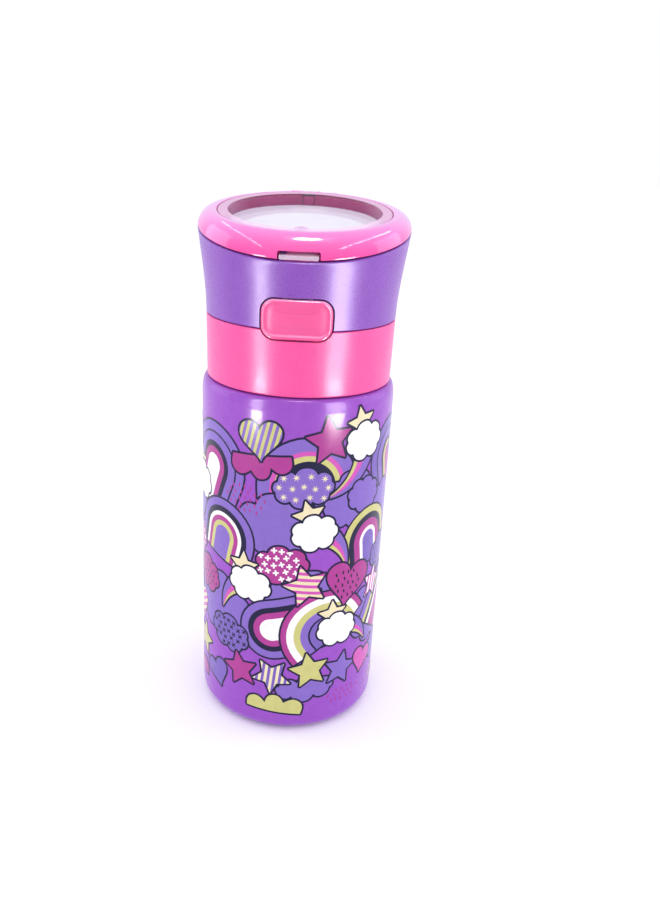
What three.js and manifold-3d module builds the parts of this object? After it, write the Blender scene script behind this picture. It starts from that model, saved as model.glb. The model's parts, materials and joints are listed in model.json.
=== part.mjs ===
// Children's insulated drinking bottle with a flip-up lid, a soft folding spout and a straw.
// Millimetres, +Z up, origin at the centre of the base, front (button side) towards -Y.
import * as THREE from "three";
import { mergeVertices } from "three/addons/utils/BufferGeometryUtils.js";
import Module from "manifold-3d";

const wasm = await Module();
wasm.setup();

// ---------- driving dimensions ----------

const SEGMENTS = 36; // round the large shells
const SMALL = 20; // round the spout and the straw
const FINE = 16; // round small pins and holes
const GAP = 0.3; // between touching parts
const BEYOND = 60; // half width of blocks that only cut

const body = {
  r: 36, // outer radius of the painted shell
  wall: 0.5,
  footR: 26.2, // inner edge of the standing ring
  bottomR: 6, // radius of the bottom edge
  wallTop: 132.2, // where the straight wall ends
  shoulderTop: 137.6, // top of the rounded shoulder
  shoulderR: 34.5, // radius where the rounding ends under the cap
};
const neck = { r: 27.2, wall: 0.9, base: 138.1, lip: 156.5 };
const flask = { r: 33.6, wall: 0.5, bottom: 4.2, top: 136.5, edgeR: 3, turnIn: 5 };
const basePlate = { chamfer: 0.8, step: 1.4, lap: 2.4, top: 2.0 };
const thread = { lead: 6, turns: 1.25, low: 144, height: 1.0, bite: 0.4, root: 1.9, crest: 1.1 };
const cap = {
  bottom: 138.3,
  top: 160.6, // seam between the pink ring and the purple collar
  rLow: 34.1,
  rTop: 34.4,
  wall: 2.1,
  edge: 0.5,
  sleeveR: 28.6, // inner radius of the threaded sleeve
  sleeveWall: 2.0,
  sleeveLift: 1.2, // the sleeve ends this far above the cap's lower edge
  webUnder: 158.3,
  web: 1.2,
  mouthR: 25.4,
};
const gasket = { r: 28.2, low: 156.75, high: 158.0 };
const collar = {
  bottom: 160.95,
  wall: 2.2,
  rBase: 34.4,
  flare: 3.8, // how much wider the full flare is
  flareFrom: 160,
  flareOver: 44,
  boreR: 31.5,
};
const rim = { z: 191.13, slope: 0.217 }; // slanted top edge of the collar
const lid = {
  windowZ: 196.1, // top of the clear window's flange on the axis
  windowSlope: 0.134,
  flangeR: 30.5,
  dishR: 28.1, // outer radius of the clear dish below its flange
  dishWall: 1.5,
  dishDepth: 4.0,
  floor: 1.6,
  flange: 1.2,
  seat: 1.5, // depth of the flange's seat in the ring
  crestR: 31.2, // where the ring is highest
  edge: 0.12, // share of the ring's height at which its dome meets its outer edge
  skirtR: 33.3,
  skirtDepth: 2.0,
};
const notch = { halfWidth: 7.2, height: 3.0, backY: -33.6, innerY: -26, innerTop: 187.8 };
const tab = { halfWidth: 6.4, frontY: -36.2, backY: -30.9, top: 1.7 };
const tongue = {
  halfWidth: 4,
  frontY: -32.3,
  backY: -30.9,
  low: 177,
  top: 187.4,
  bridge: 1.5, // thickness of the arm that carries it, back to bridgeY
  bridgeY: -27,
};
const hook = { backY: -30.4, top: 178.6 };
const hinge = {
  y: 45.5,
  z: 196.5,
  pinR: 1.5,
  eyeR: 3.2,
  armIn: 7.5,
  armOut: 10.5,
  armRoot: [34, 187], // (y, z) where the arms leave the collar
  armTopY: 38,
  ringRoot: [33.5, 197, 199.9], // y, and low and high z, where the ring's lugs start
  windowRoot: [27.4, 195.4, 198.4], // the same for the window's lug
  lugIn: 2.3,
  lugLeft: -7.2,
  lugRight: 4.3,
  windowLug: 2,
};
const deck = {
  under: 160.6,
  top: 163.4,
  r: 31.9,
  plugR: 24.9,
  plugWall: 2.0,
  plugBottom: 150.5,
  frontY: -26.9, // straight edge behind the catch
};
const housing = { halfWidth: 14.6, wall: 1.2, frontY: -28, backY: -24.4, top: 181 }; // guides the latch
const spout = {
  y: -14.5,
  z: 172.5,
  foldDeg: 78, // leaning back under the closed lid
  length: 35.5,
  tipR: 6.2,
  bellyR: 8.2,
  boreR: 2.5,
  ballR: 6.6,
};
const boot = { socketR: 5.2, stemR: 5.6, flangeR: 9.6, flange: 1.2, neckR: 4.9, grip: 6 };
const straw = { r: 3.5, bore: 2.6, bottom: 9.5, top: 158 };
const vent = { y: 19, headR: 3.4, stemR: 1.5, flapR: 2.6, hole: 1.8 };
const button = {
  halfWidth: 12.05,
  low: 157.7,
  high: 171.25,
  corner: 4.0,
  proud: 0.9,
  inner: 33.9,
  clearance: 0.35,
  stem: { halfWidth: 6.5, frontY: -34, backY: -30.4, low: 162, high: 170 },
};
const catchBar = { halfWidth: 5, frontY: -30.1, backY: -28.9, low: 162.5, high: 180.4 };
const catchTip = { halfWidth: 4, frontY: -30.3, low: 179 };
const catchSlot = { halfWidth: 5.2, frontY: -34.4, backY: -28, low: 175.4, high: 190 };
const buttonSpring = { r: 1.8, wire: 0.45, length: 2.8, turns: 2.5, y: -28.6, z: 168 };
const lidSpring = { r: 2.35, wire: 0.6, length: 2.4, turns: 3.25, x: 4.7 };
const handle = {
  y: 38.8,
  z: 181.5,
  tiltDeg: 26.6, // away from hanging straight down
  length: 56,
  inside: 13.4, // half the clear width between the arms
  arm: 3.5,
  eyeR: 4.0,
  tip: 1.7, // half thickness at the far end
  bar: 8.5, // width of the cross bar
  pinR: 1.3,
  pinHalf: 4.2,
  bossR: 3.8,
  bossRoot: [34.2, 175.5, 187], // y, and low and high z, where the boss leaves the collar
};

const rad = THREE.MathUtils.degToRad;
const rimZ = (y) => rim.z + rim.slope * y;
const windowZ = (y) => lid.windowZ + lid.windowSlope * y;

// Outer radius of the flared collar at height z.
function collarR(z) {
  const t = (z - collar.flareFrom) / collar.flareOver;
  return collar.rBase + (collar.flare * (1 - Math.cos(Math.PI * t))) / 2;
}

// ---------- geometry helpers ----------

// A closed three.js geometry as a manifold-3d solid with its faces pointing out.
function solid(geometry) {
  const plain = geometry.index ? geometry.toNonIndexed() : geometry.clone();
  plain.deleteAttribute("normal");
  plain.deleteAttribute("uv");
  const merged = mergeVertices(plain, 1e-4);
  const index = merged.index.array;
  const kept = [];
  for (let i = 0; i < index.length; i += 3) {
    const [a, b, c] = [index[i], index[i + 1], index[i + 2]];
    if (a !== b && b !== c && c !== a) kept.push(a, b, c);
  }
  const vertProperties = merged.attributes.position.array;
  const build = (tris) =>
    new wasm.Manifold(new wasm.Mesh({ numProp: 3, vertProperties, triVerts: new Uint32Array(tris) }));
  const made = build(kept);
  if (made.volume() > 0) return made;
  return build(kept.reverse());
}

// A manifold-3d solid as a three.js geometry.
function geometryOf(made) {
  const mesh = made.getMesh();
  const positions = new Float32Array(mesh.numVert * 3);
  for (let i = 0; i < mesh.numVert; i++) {
    positions.set(mesh.vertProperties.subarray(i * mesh.numProp, i * mesh.numProp + 3), i * 3);
  }
  const geometry = new THREE.BufferGeometry();
  geometry.setAttribute("position", new THREE.BufferAttribute(positions, 3));
  geometry.setIndex(new THREE.BufferAttribute(mesh.triVerts, 1));
  geometry.computeVertexNormals();
  return geometry;
}

// A profile of [radius, height] pairs turned about +Z.
function revolve(profile, segments = SEGMENTS) {
  const points = profile.map(([r, z]) => new THREE.Vector2(r, z));
  return new THREE.LatheGeometry(points, segments).rotateX(Math.PI / 2);
}

// The same profile, closed on itself, for rings and tubes.
const ring = (profile, segments = SEGMENTS) => revolve([...profile, profile[0]], segments);

// Points of a round or elliptical arc, angles in degrees.
function arc(cx, cy, rx, ry, from, to, steps) {
  return Array.from({ length: steps + 1 }, (_, i) => {
    const a = rad(from + ((to - from) * i) / steps);
    return [cx + rx * Math.cos(a), cy + ry * Math.sin(a)];
  });
}

// A plain block between two corners.
const box = (x0, x1, y0, y1, z0, z1) =>
  new THREE.BoxGeometry(x1 - x0, y1 - y0, z1 - z0).translate((x0 + x1) / 2, (y0 + y1) / 2, (z0 + z1) / 2);

// A cylinder along X from x0 to x1, about the point (y, z).
const rod = (r, x0, x1, y, z, segments = FINE) =>
  new THREE.CylinderGeometry(r, r, x1 - x0, segments).rotateZ(Math.PI / 2).translate((x0 + x1) / 2, y, z);

// A cylinder along Z from z0 to z1.
const post = (r, z0, z1, x = 0, y = 0, segments = SEGMENTS) =>
  new THREE.CylinderGeometry(r, r, z1 - z0, segments).rotateX(Math.PI / 2).translate(x, y, (z0 + z1) / 2);

// Tilts a shape by lifting each point by slope times its y.
const shear = (geometry, slope) =>
  geometry.applyMatrix4(new THREE.Matrix4().set(1, 0, 0, 0, 0, 1, 0, 0, 0, slope, 1, 0, 0, 0, 0, 1));

// Moves every vertex by a function of its place.
function warp(geometry, move) {
  const position = geometry.attributes.position;
  const p = new THREE.Vector3();
  for (let i = 0; i < position.count; i++) {
    move(p.fromBufferAttribute(position, i));
    position.setXYZ(i, p.x, p.y, p.z);
  }
  return geometry;
}

// A plate between two places on X, in either order, whose outline is a shape drawn in (y, z).
function plate(shape, xa, xb, curveSegments = 5) {
  const depth = Math.abs(xb - xa);
  const made = new THREE.ExtrudeGeometry(shape, { depth, bevelEnabled: false, curveSegments });
  return made.rotateX(Math.PI / 2).rotateZ(Math.PI / 2).translate(Math.min(xa, xb), 0, 0);
}

// Outline that wraps a round eye and two far points, like a belt. The low point comes first.
function lugShape(y, z, r, farLow, farHigh) {
  const reach = (p, side) => {
    const d = Math.hypot(p[0] - y, p[1] - z);
    return Math.atan2(p[1] - z, p[0] - y) + side * Math.acos(r / d);
  };
  const shape = new THREE.Shape();
  shape.moveTo(...farHigh);
  shape.lineTo(...farLow);
  shape.absarc(y, z, r, reach(farLow, 1), reach(farHigh, -1), false);
  shape.closePath();
  return shape;
}

// The same round the lid's hinge pin, from a root given as y, low z and high z.
const hingeLug = ([y, low, high]) => lugShape(hinge.y, hinge.z, hinge.eyeR, [y, low], [y, high]);

// Rounded rectangle in (x, z), extruded along Y from y0 to y1, grown by a margin.
function padBlock(margin, y0, y1) {
  const hw = button.halfWidth + margin;
  const [low, high] = [button.low - margin, button.high + margin];
  const c = button.corner + margin;
  const shape = new THREE.Shape();
  shape.moveTo(-hw + c, low);
  shape.lineTo(hw - c, low);
  shape.absarc(hw - c, low + c, c, -Math.PI / 2, 0, false);
  shape.lineTo(hw, high - c);
  shape.absarc(hw - c, high - c, c, 0, Math.PI / 2, false);
  shape.lineTo(-hw + c, high);
  shape.absarc(-hw + c, high - c, c, Math.PI / 2, Math.PI, false);
  shape.lineTo(-hw, low + c);
  shape.absarc(-hw + c, low + c, c, Math.PI, Math.PI * 1.5, false);
  const made = new THREE.ExtrudeGeometry(shape, { depth: y1 - y0, bevelEnabled: false, curveSegments: 5 });
  return made.rotateX(Math.PI / 2).translate(0, y1, 0);
}

// A helical ridge of trapezoid section on a wall of radius r. side is 1 outwards and -1 inwards.
function threadRidge(r, side, low) {
  const section = new THREE.Shape();
  section.moveTo(-thread.root / 2, -side * thread.bite);
  section.lineTo(thread.root / 2, -side * thread.bite);
  section.lineTo(thread.crest / 2, side * thread.height);
  section.lineTo(-thread.crest / 2, side * thread.height);
  section.closePath();
  const steps = Math.round(24 * thread.turns);
  const made = new THREE.ExtrudeGeometry(section, { depth: 1, steps, bevelEnabled: false });
  return warp(made, (p) => {
    const turns = p.z * thread.turns;
    const turn = turns * Math.PI * 2;
    p.set((r + p.y) * Math.cos(turn), (r + p.y) * Math.sin(turn), low + p.x + thread.lead * turns);
  });
}

// A coil spring about +Z, standing on z = 0.
function coil({ r, wire, length, turns }) {
  const steps = Math.round(turns * 12);
  const path = new THREE.CatmullRomCurve3(
    Array.from({ length: steps + 1 }, (_, i) => {
      const a = (turns * 2 * Math.PI * i) / steps;
      const z = wire / 2 + ((length - wire) * i) / steps;
      return new THREE.Vector3(r * Math.cos(a), r * Math.sin(a), z);
    }),
  );
  const section = new THREE.Shape();
  section.absarc(0, 0, wire / 2, 0, Math.PI * 2, false);
  return new THREE.ExtrudeGeometry(section, { steps, extrudePath: path, curveSegments: 3 });
}

// Joins, and cuts, of geometries or solids.
const solidOf = (p) => (p.isBufferGeometry ? solid(p) : p);
const union = (...parts) => parts.map(solidOf).reduce((a, b) => a.add(b));
const cut = (made, ...tools) => tools.map(solidOf).reduce((a, b) => a.subtract(b), made);

// ---------- materials ----------

const material = (color, roughness, metalness = 0, extra = {}) =>
  new THREE.MeshStandardMaterial({ color, roughness, metalness, ...extra });
const paint = material(0xa45fd6, 0.35);
const pink = material(0xff69b4, 0.35);
const purple = material(0xa06ed8, 0.4);
const clear = material(0xe9e0f5, 0.08, 0, { transparent: true, opacity: 0.35 });
const steel = material(0xc9ccd1, 0.28, 1);
const softPink = material(0xf0379c, 0.5);
const softClear = material(0xe8e8ec, 0.5);
const strawPlastic = material(0xf3eef8, 0.3);
const natural = material(0xf1ede6, 0.5);

// ---------- flask ----------

function outerShell() {
  const { r, wall, footR, bottomR, wallTop, shoulderTop, shoulderR } = body;
  const neckEdge = neck.r + GAP;
  const top = neck.base - GAP;
  const flatR = shoulderR - 2; // where the flat round the neck begins
  return ring([
    [footR, 0],
    ...arc(r - bottomR, bottomR, bottomR, bottomR, -90, 0, 5),
    ...arc(shoulderR, wallTop, r - shoulderR, shoulderTop - wallTop, 0, 80, 4),
    [flatR, top],
    [neckEdge, top],
    [neckEdge, top - wall],
    [flatR, top - wall],
    [r - wall, wallTop],
    ...arc(r - bottomR, bottomR, bottomR - wall, bottomR - wall, 0, -90, 3),
    [footR, wall],
  ]);
}

function innerFlask() {
  const { r, wall, bottom, top, edgeR, turnIn } = flask;
  const profile = [
    [0, bottom],
    ...arc(r - edgeR, bottom + edgeR, edgeR, edgeR, -90, 0, 3),
    ...arc(r - turnIn, top - turnIn, turnIn, turnIn, 0, 90, 3),
    [neck.r, top],
    [neck.r, neck.lip],
    [neck.r - neck.wall, neck.lip],
    [neck.r - neck.wall, top - wall],
    ...arc(r - turnIn, top - turnIn, turnIn - wall, turnIn - wall, 90, 0, 3),
    ...arc(r - edgeR, bottom + edgeR, edgeR - wall, edgeR - wall, 0, -90, 3),
    [0, bottom + wall],
  ];
  return geometryOf(union(revolve(profile), threadRidge(neck.r, 1, thread.low)));
}

// Bottom disc, flush with the standing ring and stepped up where the shell's foot laps over it.
function baseDisc() {
  const { chamfer, step, lap, top } = basePlate;
  const r = body.footR - GAP;
  const side = [[r - chamfer, 0], [r, chamfer], [r, step], [r + lap, step], [r + lap, top]];
  return revolve([[0, 0], ...side, [0, top]]);
}

// ---------- cap ----------

function capGasket() {
  const { r, low, high } = gasket;
  const inner = deck.plugR + GAP;
  return ring([[inner, low], [r, low], [r, high], [inner, high]]);
}

function capBase() {
  const { bottom, top, rLow, rTop, wall, edge, webUnder, web, mouthR } = cap;
  const { sleeveR, sleeveWall, sleeveLift } = cap;
  const sleeveOut = sleeveR + sleeveWall;
  const shell = solid(
    ring([
      [rLow - edge, bottom],
      [rLow, bottom + edge],
      [rTop, top - edge / 2],
      [rTop - edge / 2, top],
      [mouthR, top - GAP],
      [mouthR, webUnder],
      [sleeveR, webUnder],
      [sleeveR, bottom + sleeveLift],
      [sleeveOut, bottom + sleeveLift],
      [sleeveOut, webUnder - web],
      [rTop - wall, webUnder - web],
      [rLow - wall, bottom],
    ]),
  );
  const threaded = union(shell, threadRidge(sleeveR, -1, thread.low - thread.lead / 2));
  const pocketBack = catchBar.frontY - 0.1;
  return geometryOf(cut(threaded, padBlock(button.clearance, -BEYOND, pocketBack)));
}

// Flared tube with a slanted rim, the two arms of the lid's hinge, and the boss of the carry loop.
function collarShell() {
  const { bottom, wall, boreR } = collar;
  const highest = rimZ(collar.rBase + collar.flare) + 1;
  const heights = Array.from({ length: 7 }, (_, i) => bottom + ((highest - bottom) * i) / 6);
  const outside = heights.map((z) => [collarR(z), z]);
  const inside = heights.map((z) => [collarR(z) - wall, z]).reverse();
  const tube = solid(ring([...outside, ...inside]));
  const above = shear(box(-BEYOND, BEYOND, -BEYOND, BEYOND, 0, BEYOND), rim.slope).translate(0, 0, rim.z);
  const [rootY, rootZ] = hinge.armRoot;
  const armShape = new THREE.Shape();
  armShape.moveTo(rootY, rootZ);
  armShape.absarc(hinge.y, hinge.z - 0.2, hinge.eyeR, rad(-65), rad(80), false);
  armShape.lineTo(rootY, rimZ(hinge.armTopY) - 0.5);
  armShape.closePath();
  const arms = [-1, 1].map((side) => solid(plate(armShape, side * hinge.armIn, side * hinge.armOut)));
  const [bossY, bossLow, bossHigh] = handle.bossRoot;
  const bossShape = lugShape(handle.y, handle.z, handle.bossR, [bossY, bossLow], [bossY, bossHigh]);
  const bossHalf = handle.inside - 0.4;
  const boss = solid(plate(bossShape, -bossHalf, bossHalf));
  const bore = post(boreR, bottom - 10, highest + 10);
  const lugRoom = box(-hinge.armIn, hinge.armIn, 30, 42, 191.5, 210);
  const { halfWidth, frontY, backY, low, high } = catchSlot;
  return geometryOf(
    cut(
      union(cut(tube, above), ...arms, boss),
      bore,
      padBlock(button.clearance, -BEYOND, housing.backY),
      lugRoom,
      box(-halfWidth, halfWidth, frontY, backY, low, high),
      rod(hinge.pinR + 0.1, -12, 12, hinge.y, hinge.z),
      rod(handle.pinR + 0.1, -14, 14, handle.y, handle.z),
    ),
  );
}

// Inner floor of the cap: plug that closes the neck, spout seat, vent hole and latch housing.
function deckPlate() {
  const { under, top, r, plugR, plugWall, plugBottom } = deck;
  const disc = revolve([
    [0, under],
    [plugR - plugWall, under],
    [plugR - plugWall, plugBottom],
    [plugR, plugBottom],
    [plugR, under],
    [r, under],
    [r, top],
    [0, top],
  ]);
  const { halfWidth, wall, frontY, backY } = housing;
  const sides = [-halfWidth, halfWidth - wall].map((x) =>
    box(x, x + wall, frontY, backY, top - 1, housing.top),
  );
  const back = box(-halfWidth, halfWidth, backY - wall, backY, top - 1, housing.top);
  const latchRoom = halfWidth - wall - 0.2;
  const [below, above] = [plugBottom - 10, top + 6];
  return geometryOf(
    cut(
      union(disc, back, ...sides),
      box(-latchRoom, latchRoom, -BEYOND, deck.frontY, below, above),
      post(boot.stemR + 0.4, below, above, 0, spout.y, 24),
      post(vent.hole, below, above, 0, vent.y, FINE),
    ),
  );
}

// ---------- spout, straw and vent ----------

// Fixed silicone foot of the spout: flange on the deck, straw socket below, ball-shaped neck above.
function spoutBoot() {
  const { ballR, boreR, z } = spout;
  const { socketR, stemR, flangeR, flange, neckR, grip } = boot;
  const seat = deck.top + GAP;
  const strawR = straw.r + 0.1;
  const neckDeg = THREE.MathUtils.radToDeg(Math.acos(neckR / ballR));
  const profile = [
    [strawR, straw.top - grip],
    [socketR, straw.top - grip],
    [stemR, deck.under - GAP],
    [stemR, seat],
    [flangeR, seat],
    [flangeR, seat + flange],
    [neckR, seat + 2],
    ...arc(0, z, ballR, ballR, -neckDeg, 66, 6),
    [boreR, z + 5.6],
    [boreR, straw.top + 0.4],
    [strawR, straw.top + 0.4],
  ];
  return ring(profile, SMALL);
}

// Folding part of the spout, along +Z from its pivot, with a socket over the boot's ball.
function spoutNozzle() {
  const { length, tipR, bellyR, boreR, ballR } = spout;
  const socket = ballR + GAP;
  const lip = 56; // how far the socket reaches round the ball, in degrees from the spout's axis
  const around = (r, deg) => [r * Math.sin(rad(deg)), r * Math.cos(rad(deg))];
  const profile = [
    [boreR, Math.sqrt(socket ** 2 - boreR ** 2)],
    around(socket, 35),
    around(socket, lip),
    around(socket + 1.2, lip),
    [bellyR, 9.5],
    [bellyR, 13.5],
    [tipR + 0.1, length - 0.8],
    [tipR - 0.7, length],
    [boreR + 0.6, length],
    [boreR, length - 0.8],
  ];
  return ring(profile, SMALL);
}

function strawTube() {
  const { r, bore, bottom, top } = straw;
  return ring([[bore, bottom], [r, bottom], [r, top], [bore, top]], SMALL);
}

// Umbrella valve: a flap under the deck, a stem through it and a button on top.
function ventValve() {
  const { headR, stemR, flapR } = vent;
  const under = deck.under - GAP;
  const top = deck.top + GAP;
  const flap = [[0, under - 1.6], [flapR, under - 1.0], [flapR, under], [stemR, under]];
  const head = [[stemR, top], [headR, top], [headR - 0.4, top + 0.8], [0, top + 1.3]];
  return revolve([...flap, ...head], FINE);
}

// ---------- lid ----------

// Domed ring: a turned section whose foot follows the collar's slanted rim and its top the window.
function lidBezel() {
  const { flangeR, dishR, crestR, seat, skirtR, skirtDepth } = lid;
  const inner = flangeR + 0.25;
  const nominal = 37.4; // outer radius that the section is drawn at, with heights from 0 to 1
  const dome = arc(crestR, lid.edge, nominal - crestR, 1 - lid.edge, 0, 90, 6);
  const disc = revolve([[0, 0], [nominal, 0], ...dome, [inner, 0.98], [0, 0.98]]);
  warp(disc, (p) => {
    const r = Math.hypot(p.x, p.y);
    const edge = collarR(rimZ((p.y / (r || 1)) * nominal));
    const scaled = r > inner ? inner + ((r - inner) * (edge - inner)) / (nominal - inner) : r;
    const k = r > 0 ? scaled / r : 1;
    const foot = rimZ(p.y * k) + GAP + 0.05;
    const crest = windowZ(p.y * k * Math.min(1, inner / (scaled || 1)));
    p.set(p.x * k, p.y * k, foot + p.z * (crest - foot));
  });
  const wellR = dishR + GAP;
  const skirt = ring([[wellR, -skirtDepth], [skirtR, -skirtDepth], [skirtR, 1], [wellR, 1]]);
  shear(skirt, rim.slope).translate(0, 0, rim.z);
  const sunk = (r, low) => shear(post(r, low, 20), lid.windowSlope).translate(0, 0, lid.windowZ);
  const lugs = [[hinge.lugIn, hinge.lugRight], [hinge.lugLeft, -hinge.lugIn]].map(([x0, x1]) =>
    solid(plate(hingeLug(hinge.ringRoot), x0, x1)),
  );
  const { halfWidth, height, backY, innerY, innerTop } = notch;
  const bottom = innerTop - 20;
  return geometryOf(
    cut(
      union(cut(union(disc, skirt), sunk(inner, -seat), sunk(wellR, -20)), ...lugs),
      box(-halfWidth, halfWidth, -BEYOND, backY, bottom, rimZ(tab.frontY) + height),
      box(-halfWidth, halfWidth, backY - 0.1, innerY, bottom, innerTop),
      box(-hinge.lugIn, hinge.lugIn, 26, 36, 190, 199.6),
      rod(hinge.pinR + 0.15, -12, 12, hinge.y, hinge.z),
    ),
  );
}

// Clear dish that sits in the ring: flange, wall, floor, hinge lug, finger tab and latch tongue.
function lidWindow() {
  const { flangeR, dishR, dishWall, dishDepth, floor, flange } = lid;
  const inner = dishR - dishWall;
  const dish = revolve([
    [0, -dishDepth - floor],
    [dishR, -dishDepth - floor],
    [dishR, -flange],
    [flangeR, -flange],
    [flangeR, -0.1],
    [flangeR - 0.2, 0],
    [inner, 0],
    [inner, -dishDepth],
    [0, -dishDepth],
  ]);
  shear(dish, lid.windowSlope).translate(0, 0, lid.windowZ);
  const finger = box(-tab.halfWidth, tab.halfWidth, tab.frontY, tab.backY, GAP, tab.top);
  shear(finger, rim.slope).translate(0, 0, rim.z);
  const { halfWidth, frontY, backY, low, top, bridge, bridgeY } = tongue;
  return geometryOf(
    cut(
      union(
        dish,
        finger,
        box(-halfWidth, halfWidth, frontY, bridgeY, top - bridge, top),
        box(-halfWidth, halfWidth, frontY, backY, low, top),
        box(-halfWidth, halfWidth, frontY, hook.backY, low, hook.top),
        plate(hingeLug(hinge.windowRoot), -hinge.windowLug, hinge.windowLug),
      ),
      rod(hinge.pinR + 0.15, -12, 12, hinge.y, hinge.z),
    ),
  );
}

// ---------- latch ----------

// Curved pad that follows the cap's surface, with a stem that reaches the catch.
function pushButton() {
  const heights = [156, cap.top, 164, 168, 173];
  const surface = (z) => (z < collar.flareFrom ? cap.rTop : collarR(z));
  const outer = heights.map((z) => [surface(z) + button.proud, z]);
  const inner = heights.map((z) => [button.inner, z]).reverse();
  const face = solid(padBlock(0, -BEYOND, housing.backY)).intersect(solid(ring([...outer, ...inner], 60)));
  const { halfWidth, frontY, backY, low, high } = button.stem;
  return geometryOf(union(face, box(-halfWidth, halfWidth, frontY, backY, low, high)));
}

// Sliding catch clipped behind the button.
function latchSlider() {
  const { halfWidth, frontY, backY, low, high } = catchBar;
  const bar = box(-halfWidth, halfWidth, frontY, backY, low, high);
  const tip = box(-catchTip.halfWidth, catchTip.halfWidth, catchTip.frontY, backY, catchTip.low, high);
  return geometryOf(union(bar, tip));
}

// ---------- carry loop ----------

function carryLoop() {
  const { length, inside, arm, eyeR, tip, bar, pinR } = handle;
  const outer = inside + arm;
  const armShape = lugShape(0, 0, eyeR, [tip, -length + 2], [-tip, -length + 2]);
  const arms = [-1, 1].map((side) => solid(plate(armShape, side * inside, side * outer)));
  const cross = box(-outer, outer, -tip, tip, -length, -length + bar);
  return geometryOf(cut(union(...arms, cross), rod(pinR + 0.15, -outer - 5, outer + 5, 0, 0)));
}

// ---------- assembly ----------

const bottle = new THREE.Group();

function add(name, geometry, look, parent = bottle) {
  const mesh = new THREE.Mesh(geometry, look);
  mesh.name = name;
  parent.add(mesh);
  return mesh;
}

add("outer_shell", outerShell(), paint);
add("inner_flask", innerFlask(), steel);
add("base_plate", baseDisc(), steel);

const capGroup = new THREE.Group();
bottle.add(capGroup);
add("cap_gasket", capGasket(), softClear, capGroup);
add("cap_base", capBase(), pink, capGroup);
add("collar", collarShell(), purple, capGroup);
add("deck", deckPlate(), purple, capGroup);
add("spout_boot", spoutBoot(), softPink, capGroup).position.y = spout.y;
add("straw", strawTube(), strawPlastic, capGroup).position.y = spout.y;
add("vent_valve", ventValve(), softClear, capGroup).position.y = vent.y;

const nozzle = add("spout", spoutNozzle(), softPink, capGroup);
nozzle.position.set(0, spout.y, spout.z);
nozzle.rotation.x = -rad(spout.foldDeg);

const lidGroup = new THREE.Group();
capGroup.add(lidGroup);
add("lid_bezel", lidBezel(), pink, lidGroup);
add("lid_window", lidWindow(), clear, lidGroup);

const pinHalf = hinge.armOut - 0.2;
add("hinge_pin", rod(hinge.pinR, -pinHalf, pinHalf, hinge.y, hinge.z), steel, capGroup);
const torsion = add("lid_spring", coil(lidSpring), steel, capGroup);
torsion.position.set(lidSpring.x, hinge.y, hinge.z);
torsion.rotation.y = Math.PI / 2;

add("button", pushButton(), pink, capGroup);
add("latch_slider", latchSlider(), natural, capGroup);
const returning = add("button_spring", coil(buttonSpring), steel, capGroup);
returning.position.set(0, buttonSpring.y, buttonSpring.z);
returning.rotation.x = -Math.PI / 2;

const loop = add("handle", carryLoop(), purple, capGroup);
loop.position.set(0, handle.y, handle.z);
loop.rotation.x = rad(handle.tiltDeg);
for (const [name, side] of [["handle_pin_left", -1], ["handle_pin_right", 1]]) {
  const pin = add(name, rod(handle.pinR, -handle.pinHalf, handle.pinHalf, 0, 0), steel, capGroup);
  pin.position.set(side * (handle.inside - 0.9), handle.y, handle.z);
}

export default bottle;
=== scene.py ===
import json
from math import acos, atan2, cos, hypot, pi, radians, sin, sqrt, tan

import bmesh
import bpy
from mathutils import Matrix, Vector
from mathutils.geometry import delaunay_2d_cdt


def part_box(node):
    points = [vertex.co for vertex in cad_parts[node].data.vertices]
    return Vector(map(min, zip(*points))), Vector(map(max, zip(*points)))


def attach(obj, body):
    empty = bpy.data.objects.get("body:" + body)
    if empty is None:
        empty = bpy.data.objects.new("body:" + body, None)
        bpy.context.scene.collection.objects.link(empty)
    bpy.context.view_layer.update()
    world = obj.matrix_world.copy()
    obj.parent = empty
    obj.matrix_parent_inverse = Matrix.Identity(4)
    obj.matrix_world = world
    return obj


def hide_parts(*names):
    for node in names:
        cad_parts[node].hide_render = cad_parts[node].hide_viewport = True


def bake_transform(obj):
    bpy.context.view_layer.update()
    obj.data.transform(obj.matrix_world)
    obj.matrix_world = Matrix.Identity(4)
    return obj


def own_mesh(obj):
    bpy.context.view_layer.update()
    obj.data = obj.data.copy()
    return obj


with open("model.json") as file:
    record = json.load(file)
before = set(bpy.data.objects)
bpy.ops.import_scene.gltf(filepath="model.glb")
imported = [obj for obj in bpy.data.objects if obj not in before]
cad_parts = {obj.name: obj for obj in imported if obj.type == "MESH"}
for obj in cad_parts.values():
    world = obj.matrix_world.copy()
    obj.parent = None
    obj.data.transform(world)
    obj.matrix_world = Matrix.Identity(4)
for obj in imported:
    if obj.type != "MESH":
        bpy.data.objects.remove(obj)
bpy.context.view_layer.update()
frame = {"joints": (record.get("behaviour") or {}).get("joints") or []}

# Pieces are drawn in millimetres in the frame's axes: +Z up, the button towards -Y.
# place() turns them into metres when they are finished.

MM = 1000.0
SEGMENTS = 144  # round the large shells
GAP = 0.3  # between touching pieces


def node_box(node):
    """Lowest and highest corner of a CAD node, in millimetres."""
    low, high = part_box(node)
    return low * MM, high * MM


def joint_point(name):
    """(y, z) of a hinge's axis, in millimetres."""
    joint = next(j for j in frame["joints"] if j["name"] == name)
    return joint["pos_m"][1] * MM, joint["pos_m"][2] * MM


# ---------- sizes ----------

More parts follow.
